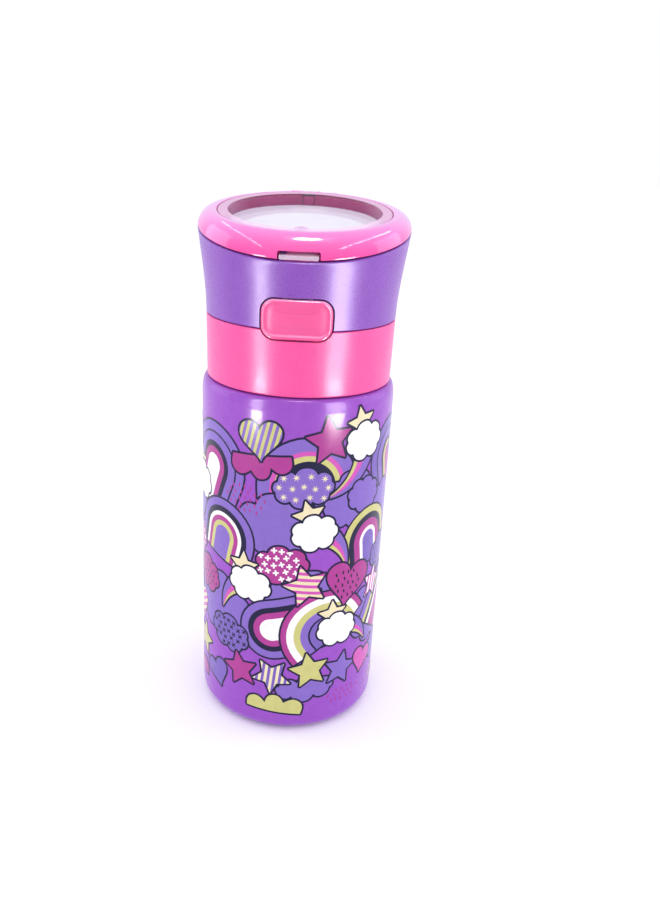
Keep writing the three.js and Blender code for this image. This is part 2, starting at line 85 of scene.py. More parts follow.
SHELL_HIGH = node_box("outer_shell")[1]
BODY_R = SHELL_HIGH.x
SHELL_TOP = SHELL_HIGH.z
WALL = 0.5
FOOT_R = 26.2
BOTTOM_R = 6.0
WALL_TOP = 132.2
SHOULDER_R = 34.5
BAND_LOW, BAND_HIGH = node_box("cap_base")
BAND_R = BAND_HIGH.x
COLLAR_LOW = node_box("collar")[0]
COLLAR_WALL = 2.2
COLLAR_FLARE = 3.8
FLARE_FROM = 160.0
FLARE_OVER = 44.0
RIM_Z, RIM_SLOPE = 191.13, 0.217
WINDOW_Z, WINDOW_SLOPE = 196.1, 0.134
FLANGE_R = 30.5
DISH_R = 28.1
DISH_WALL = 1.5
DISH_DEPTH = 4.0
GATE = (-0.7, -11.0)  # where the window was filled in its mould
NOTCH_HALF, NOTCH_HIGH = 7.2, 3.0  # the notch in the ring for the window's finger tab
TAB_FROM = -33.5
NECK_R = 27.2
NECK_WALL = 0.9
LIP_Z = node_box("inner_flask")[1].z
THREAD_LEAD = 6.0
DECK_TOP = 163.4
DECK_UNDER = 160.6
PIN_Y, PIN_Z = joint_point("lid_hinge")
PIN_R = 1.5
EYE_R = 3.2
SPOUT_Y, SPOUT_Z = joint_point("spout_fold")
LOOP_Y, LOOP_Z = joint_point("handle_swing")
LOOP_TILT = 26.6  # degrees that the loop stands off the cap
BUTTON_LOW, BUTTON_HIGH = node_box("button")


def rim_z(y):
    return RIM_Z + RIM_SLOPE * y


def window_z(y):
    return WINDOW_Z + WINDOW_SLOPE * y


def collar_r(z):
    """Outer radius of the flared collar at height z."""
    t = (z - FLARE_FROM) / FLARE_OVER
    return BAND_R + COLLAR_FLARE * (1 - cos(pi * t)) / 2


# ---------- mesh helpers ----------


def in_scene(name, data):
    """A new object in the scene for a mesh, light or camera."""
    obj = bpy.data.objects.new(name, data)
    bpy.context.scene.collection.objects.link(obj)
    return obj


def mesh_object(name, verts, faces):
    mesh = bpy.data.meshes.new(name)
    mesh.from_pydata([tuple(v) for v in verts], [], faces)
    mesh.validate()
    return outward(in_scene(name, mesh))


def outward(obj):
    """Turns a closed mesh's faces to point out."""
    bm = bmesh.new()
    bm.from_mesh(obj.data)
    bmesh.ops.recalc_face_normals(bm, faces=bm.faces)
    if bm.calc_volume(signed=True) < 0:
        bmesh.ops.reverse_faces(bm, faces=bm.faces)
    bm.to_mesh(obj.data)
    bm.free()
    return obj


def moved(obj, place, degrees=0.0, axis="X"):
    """Turns a piece about an axis through the origin, and then moves it by place."""
    obj.data.transform(Matrix.Translation(place) @ Matrix.Rotation(radians(degrees), 4, axis))
    return obj


def arc(cx, cy, rx, ry, start, stop, steps):
    """Points of a round or elliptical arc, its angles in degrees."""
    angles = [radians(start + (stop - start) * i / steps) for i in range(steps + 1)]
    return [(cx + rx * cos(a), cy + ry * sin(a)) for a in angles]


def soften(corners, steps=4):
    """A closed outline with its corners rounded: each corner is (x, y) or (x, y, radius)."""
    out = []
    count = len(corners)
    for i, corner in enumerate(corners):
        p = Vector(corner[:2])
        if len(corner) == 2:
            out.append(tuple(p))
            continue
        radius = corner[2]
        before = Vector(corners[i - 1][:2]) - p
        after = Vector(corners[(i + 1) % count][:2]) - p
        half = before.angle(after) / 2
        reach = min(radius / tan(half), before.length * 0.49, after.length * 0.49)
        a, b = p + before.normalized() * reach, p + after.normalized() * reach
        for k in range(steps + 1):
            t = k / steps
            out.append(tuple(a * (1 - t) ** 2 + p * 2 * t * (1 - t) + b * t * t))
    return out


def lathe(name, profile, segments=SEGMENTS):
    """A profile of (radius, height) turned about +Z. It closes on itself, or starts and ends on the axis.
    profile may be a function of the angle from the front, for a ring that changes as it goes round."""
    section = profile if callable(profile) else (lambda a: profile)
    first = section(0.0)
    on_axis = first[0][0] < 1e-6 and first[-1][0] < 1e-6
    verts, faces = [], []
    for i in range(segments):
        a = 2 * pi * i / segments
        points = section(a)[1:-1] if on_axis else section(a)
        verts += [(r * sin(a), -r * cos(a), z) for r, z in points]
    count = len(points)
    starts = [(i * count, (i + 1) % segments * count) for i in range(segments)]
    for here, there in starts:
        for k in range(count - 1 if on_axis else count):
            n = (k + 1) % count
            faces.append((here + k, there + k, there + n, here + n))
    if on_axis:
        for end, k in ((first[0], 0), (first[-1], count - 1)):
            verts.append((0, 0, end[1]))
            faces += [(len(verts) - 1, here + k, there + k) for here, there in starts]
    return mesh_object(name, verts, faces)


def prism(name, outline, low, high, to_space):
    """An outline swept from low to high. to_space(u, v, w) gives a point from the outline and the sweep."""
    count = len(outline)
    verts = [to_space(u, v, w) for w in (low, high) for u, v in outline]
    faces = [tuple(range(count)), tuple(range(2 * count - 1, count - 1, -1))]
    faces += [(i, (i + 1) % count, (i + 1) % count + count, i + count) for i in range(count)]
    return mesh_object(name, verts, faces)


def plate(name, outline, x0, x1, bevel=0.0):
    """A plate across X whose outline is drawn in (y, z)."""
    obj = prism(name, outline, x0, x1, lambda y, z, x: (x, y, z))
    return rounded(obj, bevel) if bevel else obj


def block(x0, x1, y0, y1, z0, z1, bevel=0.0):
    return plate("block", [(y0, z0), (y1, z0), (y1, z1), (y0, z1)], x0, x1, bevel)


def rod(radius, x0, x1, y, z, chamfer=0.0):
    """A cylinder along X with chamfered ends."""
    profile = [(0, x0), (radius - chamfer, x0), (radius, x0 + chamfer), (radius, x1 - chamfer),
               (radius - chamfer, x1), (0, x1)]
    return moved(lathe("rod", profile, 40), (0, y, z), 90, "Y")


def post(radius, z0, z1, y=0.0, segments=SEGMENTS):
    """A cylinder along Z."""
    return moved(lathe("post", [(0, z0), (radius, z0), (radius, z1), (0, z1)], segments), (0, y, 0))


def shear(obj, slope, height):
    """Lifts each point by slope times its y, and then by height."""
    obj.data.transform(Matrix(((1, 0, 0, 0), (0, 1, 0, 0), (0, slope, 1, height), (0, 0, 0, 1))))
    return obj


def applied(obj):
    """Applies the modifiers of a piece to its mesh."""
    depsgraph = bpy.context.evaluated_depsgraph_get()
    mesh = bpy.data.meshes.new_from_object(obj.evaluated_get(depsgraph))
    obj.modifiers.clear()
    obj.data = mesh
    return obj


def rounded(obj, width):
    bevel = obj.modifiers.new("bevel", "BEVEL")
    bevel.width = width
    bevel.segments = 3
    bevel.limit_method = "ANGLE"
    bevel.angle_limit = radians(40)
    return applied(obj)


def boolean(obj, operation, tools):
    for tool in tools:
        modifier = obj.modifiers.new("boolean", "BOOLEAN")
        modifier.operation = operation
        modifier.solver = "EXACT"
        modifier.object = tool
        applied(obj)
        bpy.data.objects.remove(tool)
    return obj


def cleaned(obj, reach):
    """Merges points that a boolean left almost on top of each other, closer than reach."""
    bm = bmesh.new()
    bm.from_mesh(obj.data)
    bmesh.ops.remove_doubles(bm, verts=bm.verts, dist=reach)
    bmesh.ops.triangulate(bm, faces=[face for face in bm.faces if len(face.verts) > 4])
    bmesh.ops.dissolve_degenerate(bm, edges=bm.edges, dist=reach)
    bm.to_mesh(obj.data)
    bm.free()
    return obj


def join(obj, *tools):  # the tools are used up
    return boolean(obj, "UNION", tools)


def cut(obj, *tools):
    return boolean(obj, "DIFFERENCE", tools)


def loop_quads(loops, count):
    """Faces that join loops of count points, which are numbered one loop after another."""
    faces = []
    for i in range(loops - 1):
        for k in range(count):
            a, b = i * count + k, i * count + (k + 1) % count
            faces.append((a, b, b + count, a + count))
    return faces


def tube(name, path, radius):
    """A closed round tube along a list of points."""
    sides = 12
    points = [Vector(p) for p in path]
    verts = []
    side = (points[1] - points[0]).orthogonal().normalized()
    for i, p in enumerate(points):
        ahead = points[min(i + 1, len(points) - 1)] - points[max(i - 1, 0)]
        side = (side - ahead * side.dot(ahead) / ahead.length_squared).normalized()
        up = ahead.normalized().cross(side)
        angles = [2 * pi * k / sides for k in range(sides)]
        verts += [p + (side * cos(a) + up * sin(a)) * radius for a in angles]
    ends = [tuple(range(sides)), tuple(range(len(verts) - sides, len(verts)))]
    return mesh_object(name, verts, loop_quads(len(points), sides) + ends)


def place(obj, name, body, material, slot, *nodes, sharp=32):
    """Finishes a piece: metres, shading, material, and its place in the frame."""
    if not name.startswith("print_"):  # the layers of ink come out clean
        cleaned(obj, 0.003)
    obj.name = name
    obj.data.name = name
    obj.data.transform(Matrix.Scale(1 / MM, 4))
    obj.data.shade_smooth()
    obj.data.set_sharp_from_angle(angle=radians(sharp))
    obj.data.materials.clear()
    obj.data.materials.append(material)
    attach(obj, body)
    if nodes:
        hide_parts(*nodes)
    return obj


def second_finish(obj, material, chosen):
    """Gives another material to the faces chosen by their middle, in millimetres, and their normal."""
    obj.data.materials.append(material)
    index = len(obj.data.materials) - 1
    for face in obj.data.polygons:
        if chosen(face.center * MM, face.normal):
            face.material_index = index


# ---------- materials ----------


def linear(red, green, blue):
    """A colour given from 0 to 255 in sRGB, as linear RGBA."""
    channel = lambda c: c / 12.92 if c <= 0.04045 else ((c + 0.055) / 1.055) ** 2.4
    return tuple(channel(c / 255) for c in (red, green, blue)) + (1.0,)


class Finish:
    """A Principled material whose colour, roughness and relief come from noise in object space."""

    def __init__(self, name, **sockets):
        self.material = bpy.data.materials.new(name)
        self.material.use_nodes = True
        self.tree = self.material.node_tree
        self.shader = self.tree.nodes["Principled BSDF"]
        self.place = self.node("TexCoord").outputs["Object"]
        self.wire(self.shader, **sockets)

    def wire(self, node, **sockets):
        """Links a node's inputs to other nodes' outputs, or sets them to plain values."""
        for socket, value in sockets.items():
            target = node.inputs[socket.replace("_", " ")]
            if isinstance(value, bpy.types.NodeSocket):
                self.tree.links.new(value, target)
            else:
                target.default_value = value
        return node

    def node(self, kind, **sockets):
        return self.wire(self.tree.nodes.new("ShaderNode" + kind), **sockets)

    def noise(self, size_mm, detail=3.0, stretch=None):
        """A noise whose features are about size_mm across, from 0 to 1."""
        place = self.place
        if stretch:
            place = self.node("Mapping", Vector=place, Scale=stretch).outputs["Vector"]
        return self.node("TexNoise", Vector=place, Scale=MM / size_mm, Detail=detail).outputs["Fac"]

    def remap(self, value, start, end, low=0.0, high=1.0):
        """Spreads start to end over low to high."""
        node = self.node("MapRange", Value=value, From_Min=start, From_Max=end, To_Min=low, To_Max=high)
        return node.outputs["Result"]

    def ranged(self, noise, low, high):
        """The middle of a noise, where most of it lies, spread over low to high."""
        return self.remap(noise, 0.3, 0.7, low, high)

    def mix(self, factor, first, second):
        mix = self.node("Mix")
        mix.data_type = "RGBA"
        return self.wire(mix, Factor=factor, A=first, B=second).outputs["Result"]

    def colours(self, patch_mm, first, second):
        """Patches of two close sRGB colours."""
        patches = self.ranged(self.noise(patch_mm), 0, 1)
        self.wire(self.shader, Base_Color=self.mix(patches, linear(*first), linear(*second)))

    def painted_top_light(self, colour):
        """Painted top light: turns the base colour towards another, lighter one where the object's own
        surface faces up, as if lit from above.
        """
        normal = self.node("TexCoord").outputs["Normal"]
        up = self.node("SeparateXYZ", Vector=normal).outputs["Z"]
        facing = self.node("MapRange", Value=up, From_Min=0.05, From_Max=0.8)
        facing.interpolation_type = "SMOOTHSTEP"
        base = self.shader.inputs["Base Color"].links[0].from_socket
        self.wire(self.shader, Base_Color=self.mix(facing.outputs["Result"], base, linear(*colour)))

    def within(self, radius):
        """1 inside a radius about the object's Z axis, in millimetres, and 0 beyond it."""
        fade = 0.2
        at = self.node("SeparateXYZ", Vector=self.place).outputs
        flat = self.node("CombineXYZ", X=at["X"], Y=at["Y"]).outputs["Vector"]
        length = self.node("VectorMath", Vector=flat)
        length.operation = "LENGTH"
        return self.remap(length.outputs["Value"], (radius + fade) / MM, (radius - fade) / MM)

    def times(self, value, factor):
        product = self.node("Math")
        product.operation = "MULTIPLY"
        self.tree.links.new(value, product.inputs[0])
        self.tree.links.new(factor, product.inputs[1])
        return product.outputs["Value"]

    def roughness(self, noise, low, high):
        self.wire(self.shader, Roughness=self.ranged(noise, low, high))

    def looks(self, first, second, patch_mm, rough_noise, rough, relief_noise, depth_mm, strength=1.0):
        """Colour patches, uneven roughness and a shallow relief. Gives the finished material."""
        self.colours(patch_mm, first, second)
        self.roughness(rough_noise, *rough)
        bump = self.node("Bump", Distance=depth_mm / MM, Strength=strength, Height=relief_noise)
        self.wire(self.shader, Normal=bump.outputs["Normal"])
        return self.material


PEARL = linear(206, 186, 255)


def satin(name, first, second, specular=0.6, sheen=0.25):
    """Pearly moulded plastic with a fine sparkle."""
    finish = Finish(name, Coat_Weight=0.12, Coat_Roughness=0.25, Specular_IOR_Level=specular,
                    Sheen_Weight=sheen, Sheen_Roughness=0.35, Sheen_Tint=PEARL)
    speckle = finish.noise(0.4, 1.0)
    return finish.looks(first, second, 7.0, speckle, (0.22, 0.46), speckle, 0.006)


def gloss(name, first, second, rough=(0.1, 0.16), sheen=0.0, upper=None, coat=0.6, specular=0.5):
    """Polished moulded plastic with the faint ripple of a tool mark. upper is a painted top light: the
    lighter colour mixed in where its surfaces face up.
    """
    finish = Finish(name, Coat_Weight=coat, Coat_Roughness=0.05, Specular_IOR_Level=specular,
                    Subsurface_Weight=0.12, Subsurface_Scale=0.002, Sheen_Weight=sheen,
                    Sheen_Roughness=0.45, Sheen_Tint=PEARL)
    material = finish.looks(first, second, 12.0, finish.noise(1.5), rough, finish.noise(6.0, 1.0), 0.02, 0.5)
    if upper:
        finish.painted_top_light(upper)
    return material


def metal(name, first, second, stretch, rough=(0.2, 0.38)):
    """Brushed steel, its grain drawn out along the axes where stretch is small."""
    finish = Finish(name, Metallic=1.0)
    grain = finish.noise(0.25, 4.0, stretch)
    return finish.looks(first, second, 9.0, grain, rough, grain, 0.006)


def silicone(name, first, second, alpha=1.0):
    finish = Finish(name, Subsurface_Weight=0.25, Subsurface_Scale=0.003, Sheen_Weight=0.15,
                    Sheen_Roughness=0.5, Alpha=alpha)
    return finish.looks(first, second, 5.0, finish.noise(0.6), (0.42, 0.58), finish.noise(0.3, 2.0), 0.008)


def lacquer(name, first, second):
    """Powder-coated metal under a clear coat: a shallow orange-peel relief and a soft gloss."""
    finish = Finish(name, Coat_Weight=0.15, Coat_Roughness=0.1, Specular_IOR_Level=0.22,
                    Sheen_Weight=0.4, Sheen_Roughness=0.3, Sheen_Tint=PEARL)
    return finish.looks(first, second, 3.0, finish.noise(0.8), (0.2, 0.28), finish.noise(1.4, 2.0), 0.006)


def clear(name, first, second, alpha, glancing, rough=(0.04, 0.1), rim=None):
    """Clear plastic with a pale colour that hides more of what is behind it at a glancing angle: a painted
    reflection of the white surroundings.
    rim is a radius in millimetres beyond which it is clearer, so the painted reflection is stronger inside
    it."""
    finish = Finish(name, IOR=1.5, Specular_IOR_Level=0.4, Coat_Weight=0.4, Coat_Roughness=0.03)
    facing = finish.node("LayerWeight", Blend=0.5)
    hide = finish.ranged(facing.outputs["Facing"], alpha, glancing)
    if rim:
        hide = finish.times(hide, finish.remap(finish.within(rim), 0, 1, 0.2))
    finish.wire(finish.shader, Alpha=hide)
    return finish.looks(first, second, 10.0, finish.noise(2.0), rough, finish.noise(8.0, 1.0), 0.01, 0.4)


PAINT = lacquer("violet_paint", (155, 80, 198), (149, 75, 192))
BAND = satin("band_pink_satin", (252, 80, 162), (248, 74, 157), 0.35, 0.3)
COLLAR = satin("collar_purple_satin", (132, 62, 182), (127, 56, 178), 0.55, 0.3)
# The lid ring's lighter pink where it faces up is painted top light.
LID = gloss("lid_pink_gloss", (250, 64, 166), (247, 56, 160), sheen=0.6, upper=(244, 128, 212))
# Darker, uncoated pink: painted shade for the ring's faces that lie in shadow.
LID_PAINTED_SHADE = gloss("lid_pink_painted_shade", (182, 24, 120), (170, 20, 108), (0.4, 0.5), coat=0.0, specular=0.2)
# The button's lighter pink where its lip faces up is painted top light.
BUTTON = gloss("button_pink", (243, 76, 152), (239, 70, 146), (0.18, 0.26), upper=(255, 160, 214))
# The window's near-white floor is a painted reflection of the white surroundings; the wall beyond the rim
# radius stays clear.
CLEAR = clear("clear_window", (242, 236, 255), (236, 230, 254), 0.3, 0.9, rim=26.2)
# A paler, more opaque copy of the clear plastic for the finger tab: painted glints on its edge.
CLEAR_TAB_PAINTED_GLINT = clear("clear_tab_painted_glint", (248, 226, 250), (244, 220, 246), 0.6, 0.85)
# Light pink-lilac copy of the clear plastic for the window's flat rim and gate mark; its brightness on the
# rim is a painted reflection.
CLEAR_RIM_PAINTED_REFLECTION = clear("clear_rim_painted_reflection", (252, 196, 250), (248, 190, 248), 0.36, 0.7)
SOFT_PINK = silicone("spout_silicone", (240, 60, 150), (232, 52, 142))
SOFT_CLEAR = silicone("seal_silicone", (236, 236, 240), (228, 228, 234), 0.85)
STRAW = clear("straw_plastic", (240, 234, 246), (232, 226, 240), 0.7, 0.9, (0.15, 0.25))
CATCH = satin("catch_white", (238, 236, 232), (230, 228, 224), sheen=0.0)
STEEL = metal("brushed_steel", (205, 207, 212), (190, 192, 198), (1.0, 1.0, 0.05))
BASE_STEEL = metal("base_steel", (205, 207, 212), (190, 192, 198), (1.0, 0.05, 1.0))
WIRE = metal("spring_wire", (190, 192, 196), (170, 172, 178), (0.2, 1.0, 1.0), (0.15, 0.3))

# ---------- flask ----------


def outer_shell():
    inner = BODY_R - WALL
    outside = arc(BODY_R - BOTTOM_R, BOTTOM_R, BOTTOM_R, BOTTOM_R, -90, 0, 16)
    shoulder = arc(SHOULDER_R, WALL_TOP, BODY_R - SHOULDER_R, SHELL_TOP - WALL_TOP - 0.15, 0, 82, 12)
    inside = arc(BODY_R - BOTTOM_R, BOTTOM_R, BOTTOM_R - WALL, BOTTOM_R - WALL, 0, -90, 10)
    profile = [(FOOT_R, 0.25), (FOOT_R + 0.25, 0)] + outside + [(BODY_R, 40), (BODY_R, 90)] + shoulder
    profile += [(SHOULDER_R - 0.4, SHELL_TOP), (NECK_R + GAP, SHELL_TOP), (NECK_R + GAP, SHELL_TOP - WALL)]
    profile += [(SHOULDER_R - 1.9, SHELL_TOP - WALL), (inner, WALL_TOP)] + inside + [(FOOT_R, WALL)]
    return lathe("outer_shell", profile)


def thread(radius, side, low):
    """A helical ridge on a wall, side 1 outwards and -1 inwards, tapered at both ends."""
    steps, turns = 90, 1.25
    verts = []
    for i in range(steps + 1):
        turn = 2 * pi * turns * i / steps
        fade = min(1.0, i / 8, (steps - i) / 8)
        height = 0.95 * fade + 0.02
        mid = low + THREAD_LEAD * turn / (2 * pi)
        for r, dz in ((-0.3, -0.9), (height, -0.45), (height, 0.45), (-0.3, 0.9)):
            reach = radius + side * r
            verts.append((reach * cos(turn), reach * sin(turn), mid + dz))
    ends = [(0, 1, 2, 3), tuple(range(steps * 4, steps * 4 + 4))]
    return mesh_object("thread", verts, loop_quads(steps + 1, 4) + ends)


def inner_flask():
    radius, wall, bottom, edge, turn_in = 33.6, 0.5, 4.2, 3.0, 5.0
    top = SHELL_TOP + 0.3 - 1.6
    mouth = NECK_R - NECK_WALL
    profile = [(0, bottom)] + arc(radius - edge, bottom + edge, edge, edge, -90, 0, 10)
    profile += arc(radius - turn_in, top - turn_in, turn_in, turn_in, 0, 90, 8)
    profile += [(NECK_R + 0.6, top), (NECK_R, top + 0.6), (NECK_R, LIP_Z - 0.5)]
    profile += arc((NECK_R + mouth) / 2, LIP_Z - 0.5, NECK_WALL / 2, 0.5, 0, 180, 8)
    profile += [(mouth, top - wall)]
    profile += arc(radius - turn_in, top - turn_in, turn_in - wall, turn_in - wall, 90, 0, 8)
    profile += arc(radius - edge, bottom + edge, edge - wall, edge - wall, 0, -90, 10) + [(0, bottom + wall)]
    return join(lathe("inner_flask", profile), thread(NECK_R, 1, 144.0))


def base_plate():
    radius = FOOT_R - GAP
    profile = [(0, 0.35), (9, 0.35), (9.6, 0), (19.2, 0), (19.5, 0.25), (20.1, 0.25), (20.4, 0)]
    profile += [(radius - 0.8, 0)]
    profile += arc(radius - 0.8, 0.8, 0.8, 0.8, -90, 0, 6)
    profile += [(radius, 1.4), (radius + 2.4, 1.4), (radius + 2.4, 2.0), (0, 2.0)]
    return lathe("base_plate", profile)


place(outer_shell(), "body_shell", "bottle", PAINT, "painted_shell", "outer_shell")
place(inner_flask(), "steel_flask", "bottle", STEEL, "steel", "inner_flask")
place(base_plate(), "base_disc", "bottle", BASE_STEEL, "steel", "base_plate")

# ---------- printed pattern ----------

# The pattern is drawn flat: u runs round the body from the front, to the right, and v is the height.
# Shapes are laid over each other like paint, then cut into one layer of ink that wraps the body.

TILE = pi * BODY_R  # the pattern repeats twice round the body
OUTLINE = 0.8
INK_HEIGHT = 0.05
STRIP = 1.5  # width of the strips that let the ink follow the curve


class Print:
    """Flat shapes in the order they are painted."""

    def __init__(self):
        self.shapes = []  # (points, ink, host, is it a mark): a mark shows only where its host's fill does
        self.drawings = 0

    def add(self, points, ink, host=None, mark=False):
        for shift in (-TILE, 0.0, TILE):
            moved = [(u + shift, v) for u, v in points]
            if max(u for u, _ in moved) >= -TILE / 2 - 2 and min(u for u, _ in moved) <= TILE / 2 + 2:
                self.shapes.append((moved, ink, host, mark))

    def drawn(self, points, ink, marks=()):
        """A filled shape with an outline, and marks that show only on its fill."""
        self.add(grown(points, OUTLINE), "navy")
        self.drawings += 1
        self.add(points, ink, self.drawings)
        for mark, mark_ink in marks:
            self.add(mark, mark_ink, self.drawings, mark=True)


def resampled(points):
    """The same closed outline with a point about every 0.7 mm."""
    out = []
    for i, p in enumerate(points):
        a, b = Vector(p), Vector(points[(i + 1) % len(points)])
        count = max(1, round((b - a).length / 0.7))
        out += [a.lerp(b, k / count) for k in range(count)]
    return out


def grown(points, distance):
    """A counter-clockwise outline moved outwards by a distance, with round outer corners."""
    source = resampled(points)
    out = []
    count = len(source)
    for i, p in enumerate(source):
        into, away = p - source[i - 1], source[(i + 1) % count] - p
        if into.length < 1e-6 or away.length < 1e-6:
            continue
        n0, n1 = (Vector((d.y, -d.x)).normalized() for d in (into, away))
        turn = n0.angle_signed(n1, 0.0)
        steps = 3 if into.x * away.y - into.y * away.x > 0 and abs(turn) > 0.35 else 0
        for k in range(steps + 1):
            n = n0.lerp(n1, k / steps if steps else 0.5).normalized()
            out.append(p + n * distance)
    clear_of = lambda q, i: segment_gap(q, source[i - 1], source[i]) > distance * 0.97
    return [tuple(q) for q in out if all(clear_of(q, i) for i in range(count))]


def segment_gap(q, a, b):
    """Distance from a point to a line segment."""
    along = b - a
    t = min(1.0, max(0.0, (q - a).dot(along) / max(along.length_squared, 1e-9)))
    return (q - a - along * t).length


def turned(points, u, v, degrees=0.0):
    """A shape turned about its own middle and set down at (u, v)."""
    c, s = cos(radians(degrees)), sin(radians(degrees))
    return [(u + x * c - y * s, v + x * s + y * c) for x, y in points]


def heart_shape(width):
    out = []
    for k in range(44):
        t = -2 * pi * k / 44
        x = 16 * sin(t) ** 3
        y = 13 * cos(t) - 5 * cos(2 * t) - 2 * cos(3 * t) - cos(4 * t)
        out.append((x * width / 32, (y + 2.5) * width / 32))
    return out


def star_shape(radius, points=5, depth=0.48):
    out = []
    for k in range(points * 2):
        r = radius * (1 if k % 2 == 0 else depth)
        a = pi / 2 + pi * k / points
        out.append((r * cos(a), r * sin(a)))
    return out


def scalloped(corners, bulge=0.32):
    """Joins corners, counter-clockwise, by outward bulges, or by a line after a corner with False."""
    out = []
    count = len(corners)
    for i, corner in enumerate(corners):
        a, b = Vector(corner[:2]), Vector(corners[(i + 1) % count][:2])
        if len(corner) > 2:
            out.append(tuple(a))
            continue
        out_dir = Vector(((b - a).y, -(b - a).x)) * bulge
        for k in range(9):
            t = k / 9
            out.append(tuple(a.lerp(b, t) + out_dir * 4 * t * (1 - t) * (1 + 0.6 * (2 * t - 1) ** 2)))
    return out


def cloud_shape(width, height, bumps):
    rim = [2 * pi * (k + 0.35) / bumps for k in range(bumps)]
    return scalloped([(width * 0.39 * cos(a), height * 0.36 * sin(a)) for a in rim])


def bank_shape(width, height):
    """A cloud with a flat edge below and three bumps above."""
    low = [(-width / 2, -height / 2, False), (width / 2, -height / 2)]
    tops = [(width / 2 - width * k / 3, -height / 2 + height * (0.42 + 0.16 * (k % 2))) for k in (1, 2)]
    return scalloped([*low, *tops], 0.5)


def arch_shape(radius, legs):
    return [(radius, -legs)] + arc(0, 0, radius, radius, 0, 180, 20) + [(-radius, -legs)]


def swoosh_shape(reach, start, stop, outer, inner):
    """Part of a bent tail: it fades to a point at stop. outer and inner are depths below the reach."""
    steps = 16

    def side(depth):
        for k in range(steps + 1):
            r = reach - depth * (1 - k / steps) ** 0.8
            a = radians(start + (stop - start) * k / steps)
            yield r * cos(a), r * sin(a)

    outline = list(side(outer)) + list(side(inner))[-2::-1]
    return outline if stop > start else outline[::-1]


def moon_shape(radius):
    hollow = 0.84 * radius
    return arc(0, 0, radius, radius, -130, 130, 22) + arc(-0.45 * radius, 0, hollow, hollow, 68, -68, 14)


def drop_shape(length, width):
    return arc(0, 0, width / 2, length / 2, 0, 330, 8)


def plus_shape(size, thick=0.3):
    half, t = size / 2, size * thick / 2
    quarter = [(half, -t), (half, t), (t, t)]
    turns = ((1, 0), (0, 1), (-1, 0), (0, -1))
    return [(x * c - y * s, x * s + y * c) for c, s in turns for x, y in quarter]


def spread(width, height, step, fill):
    """Staggered places over an oval, shifted a little so that they look drawn by hand."""
    shift = 0.12 * step
    rows = int(height / 2 / step) + 1
    columns = int(width / 2 / step) + 1
    for j in range(-rows, rows + 1):
        for i in range(-columns, columns + 1):
            u = (i + 0.5 * (j % 2)) * step + shift * sin(5 * i + 3 * j)
            v = j * step * 0.86 + shift * cos(4 * i - 7 * j)
            if (2 * u / width) ** 2 + (2 * v / height) ** 2 <= fill:
                yield u, v


SMALL_MARKS = {  # kind: its outline, and how far it turns at a place
    "dashes": (drop_shape(1.8, 0.8), lambda x, y: 8 * sin(x * 3)),
    "pluses": (plus_shape(2.3), lambda x, y: 10 * sin(y * 2)),
    "crosses": (plus_shape(2.1, 0.26), lambda x, y: 45),
    "sparks": (star_shape(1.5, 7, 0.32), lambda x, y: 20 * x),
}


def field(u, v, width, height, kind, ink, step, degrees=0.0):
    """Small marks over a shape's area."""
    shape, sway = SMALL_MARKS[kind]
    places = spread(width, height, step, 0.62)
    return [(turned(shape, u + x, v + y, degrees + sway(x, y)), ink) for x, y in places]


def stripes(ink, u, v, size, degrees, pitch=2.3):
    marks = []
    for k in range(-8, 9):
        bar = [(-size, -pitch / 4), (size, -pitch / 4), (size, pitch / 4), (-size, pitch / 4)]
        marks.append((turned([(x, y + k * pitch) for x, y in bar], u, v, degrees), ink))
    return marks


art = Print()


def heart(u, v, width, ink, degrees, marks=()):
    art.drawn(turned(heart_shape(width), u, v, degrees), ink, marks)


def star(u, v, radius, ink, degrees, marks=()):
    art.drawn(turned(star_shape(radius), u, v, degrees), ink, marks)


def cloud(u, v, width, height, ink, degrees=0.0, bumps=7, *marks):
    """marks are what field() needs besides the place and the size."""
    shown = field(u, v, width, height, *marks) if marks else ()
    art.drawn(turned(cloud_shape(width, height, bumps), u, v, degrees), ink, shown)


def bank(u, v, width, height, ink, degrees):
    art.drawn(turned(bank_shape(width, height), u, v, degrees), ink)


def moon(u, v, radius, ink, degrees):
    art.drawn(turned(moon_shape(radius), u, v, degrees), ink)


def rainbow(u, v, radius, legs, degrees, *bands):
    """Nested arches from the outside in, each band as (ink, width)."""
    art.add(turned(arch_shape(radius + OUTLINE, legs + OUTLINE), u, v, degrees), "navy")
    for ink, width in bands:
        art.add(turned(arch_shape(radius, legs), u, v, degrees), ink)
        radius -= width


def comet(u, v, reach, start, stop, degrees):
    """A puffy white cloud that flies ahead of a bent tail of three inks. (u, v) is the tail's centre."""
    depths = (0.0, 4.6, 8.2, 10.8)
    inks = ("violet", "pink", "yellow")
    whole = turned(swoosh_shape(reach, start, stop, depths[0], depths[-1]), u, v)
    art.add(grown(whole, OUTLINE), "navy")
    for ink, outer, inner in zip(inks, depths, depths[1:]):
        art.add(turned(swoosh_shape(reach, start, stop, outer, inner), u, v), ink)
    a = radians(start)
    head = (u + (reach - 5.5) * cos(a), v + (reach - 5.5) * sin(a))
    star(head[0] - 2.5, head[1] + 7.0, 6.2, "cream", degrees + 8)
    cloud(*head, 20.5, 15.5, "white", degrees, 7)


def rain(u, v, width, height, ink):
    for x, y in spread(width, height, 2.6, 0.9):
        art.add(turned(drop_shape(1.7, 0.7), u + x, v + y, 6 * sin(x)), ink)


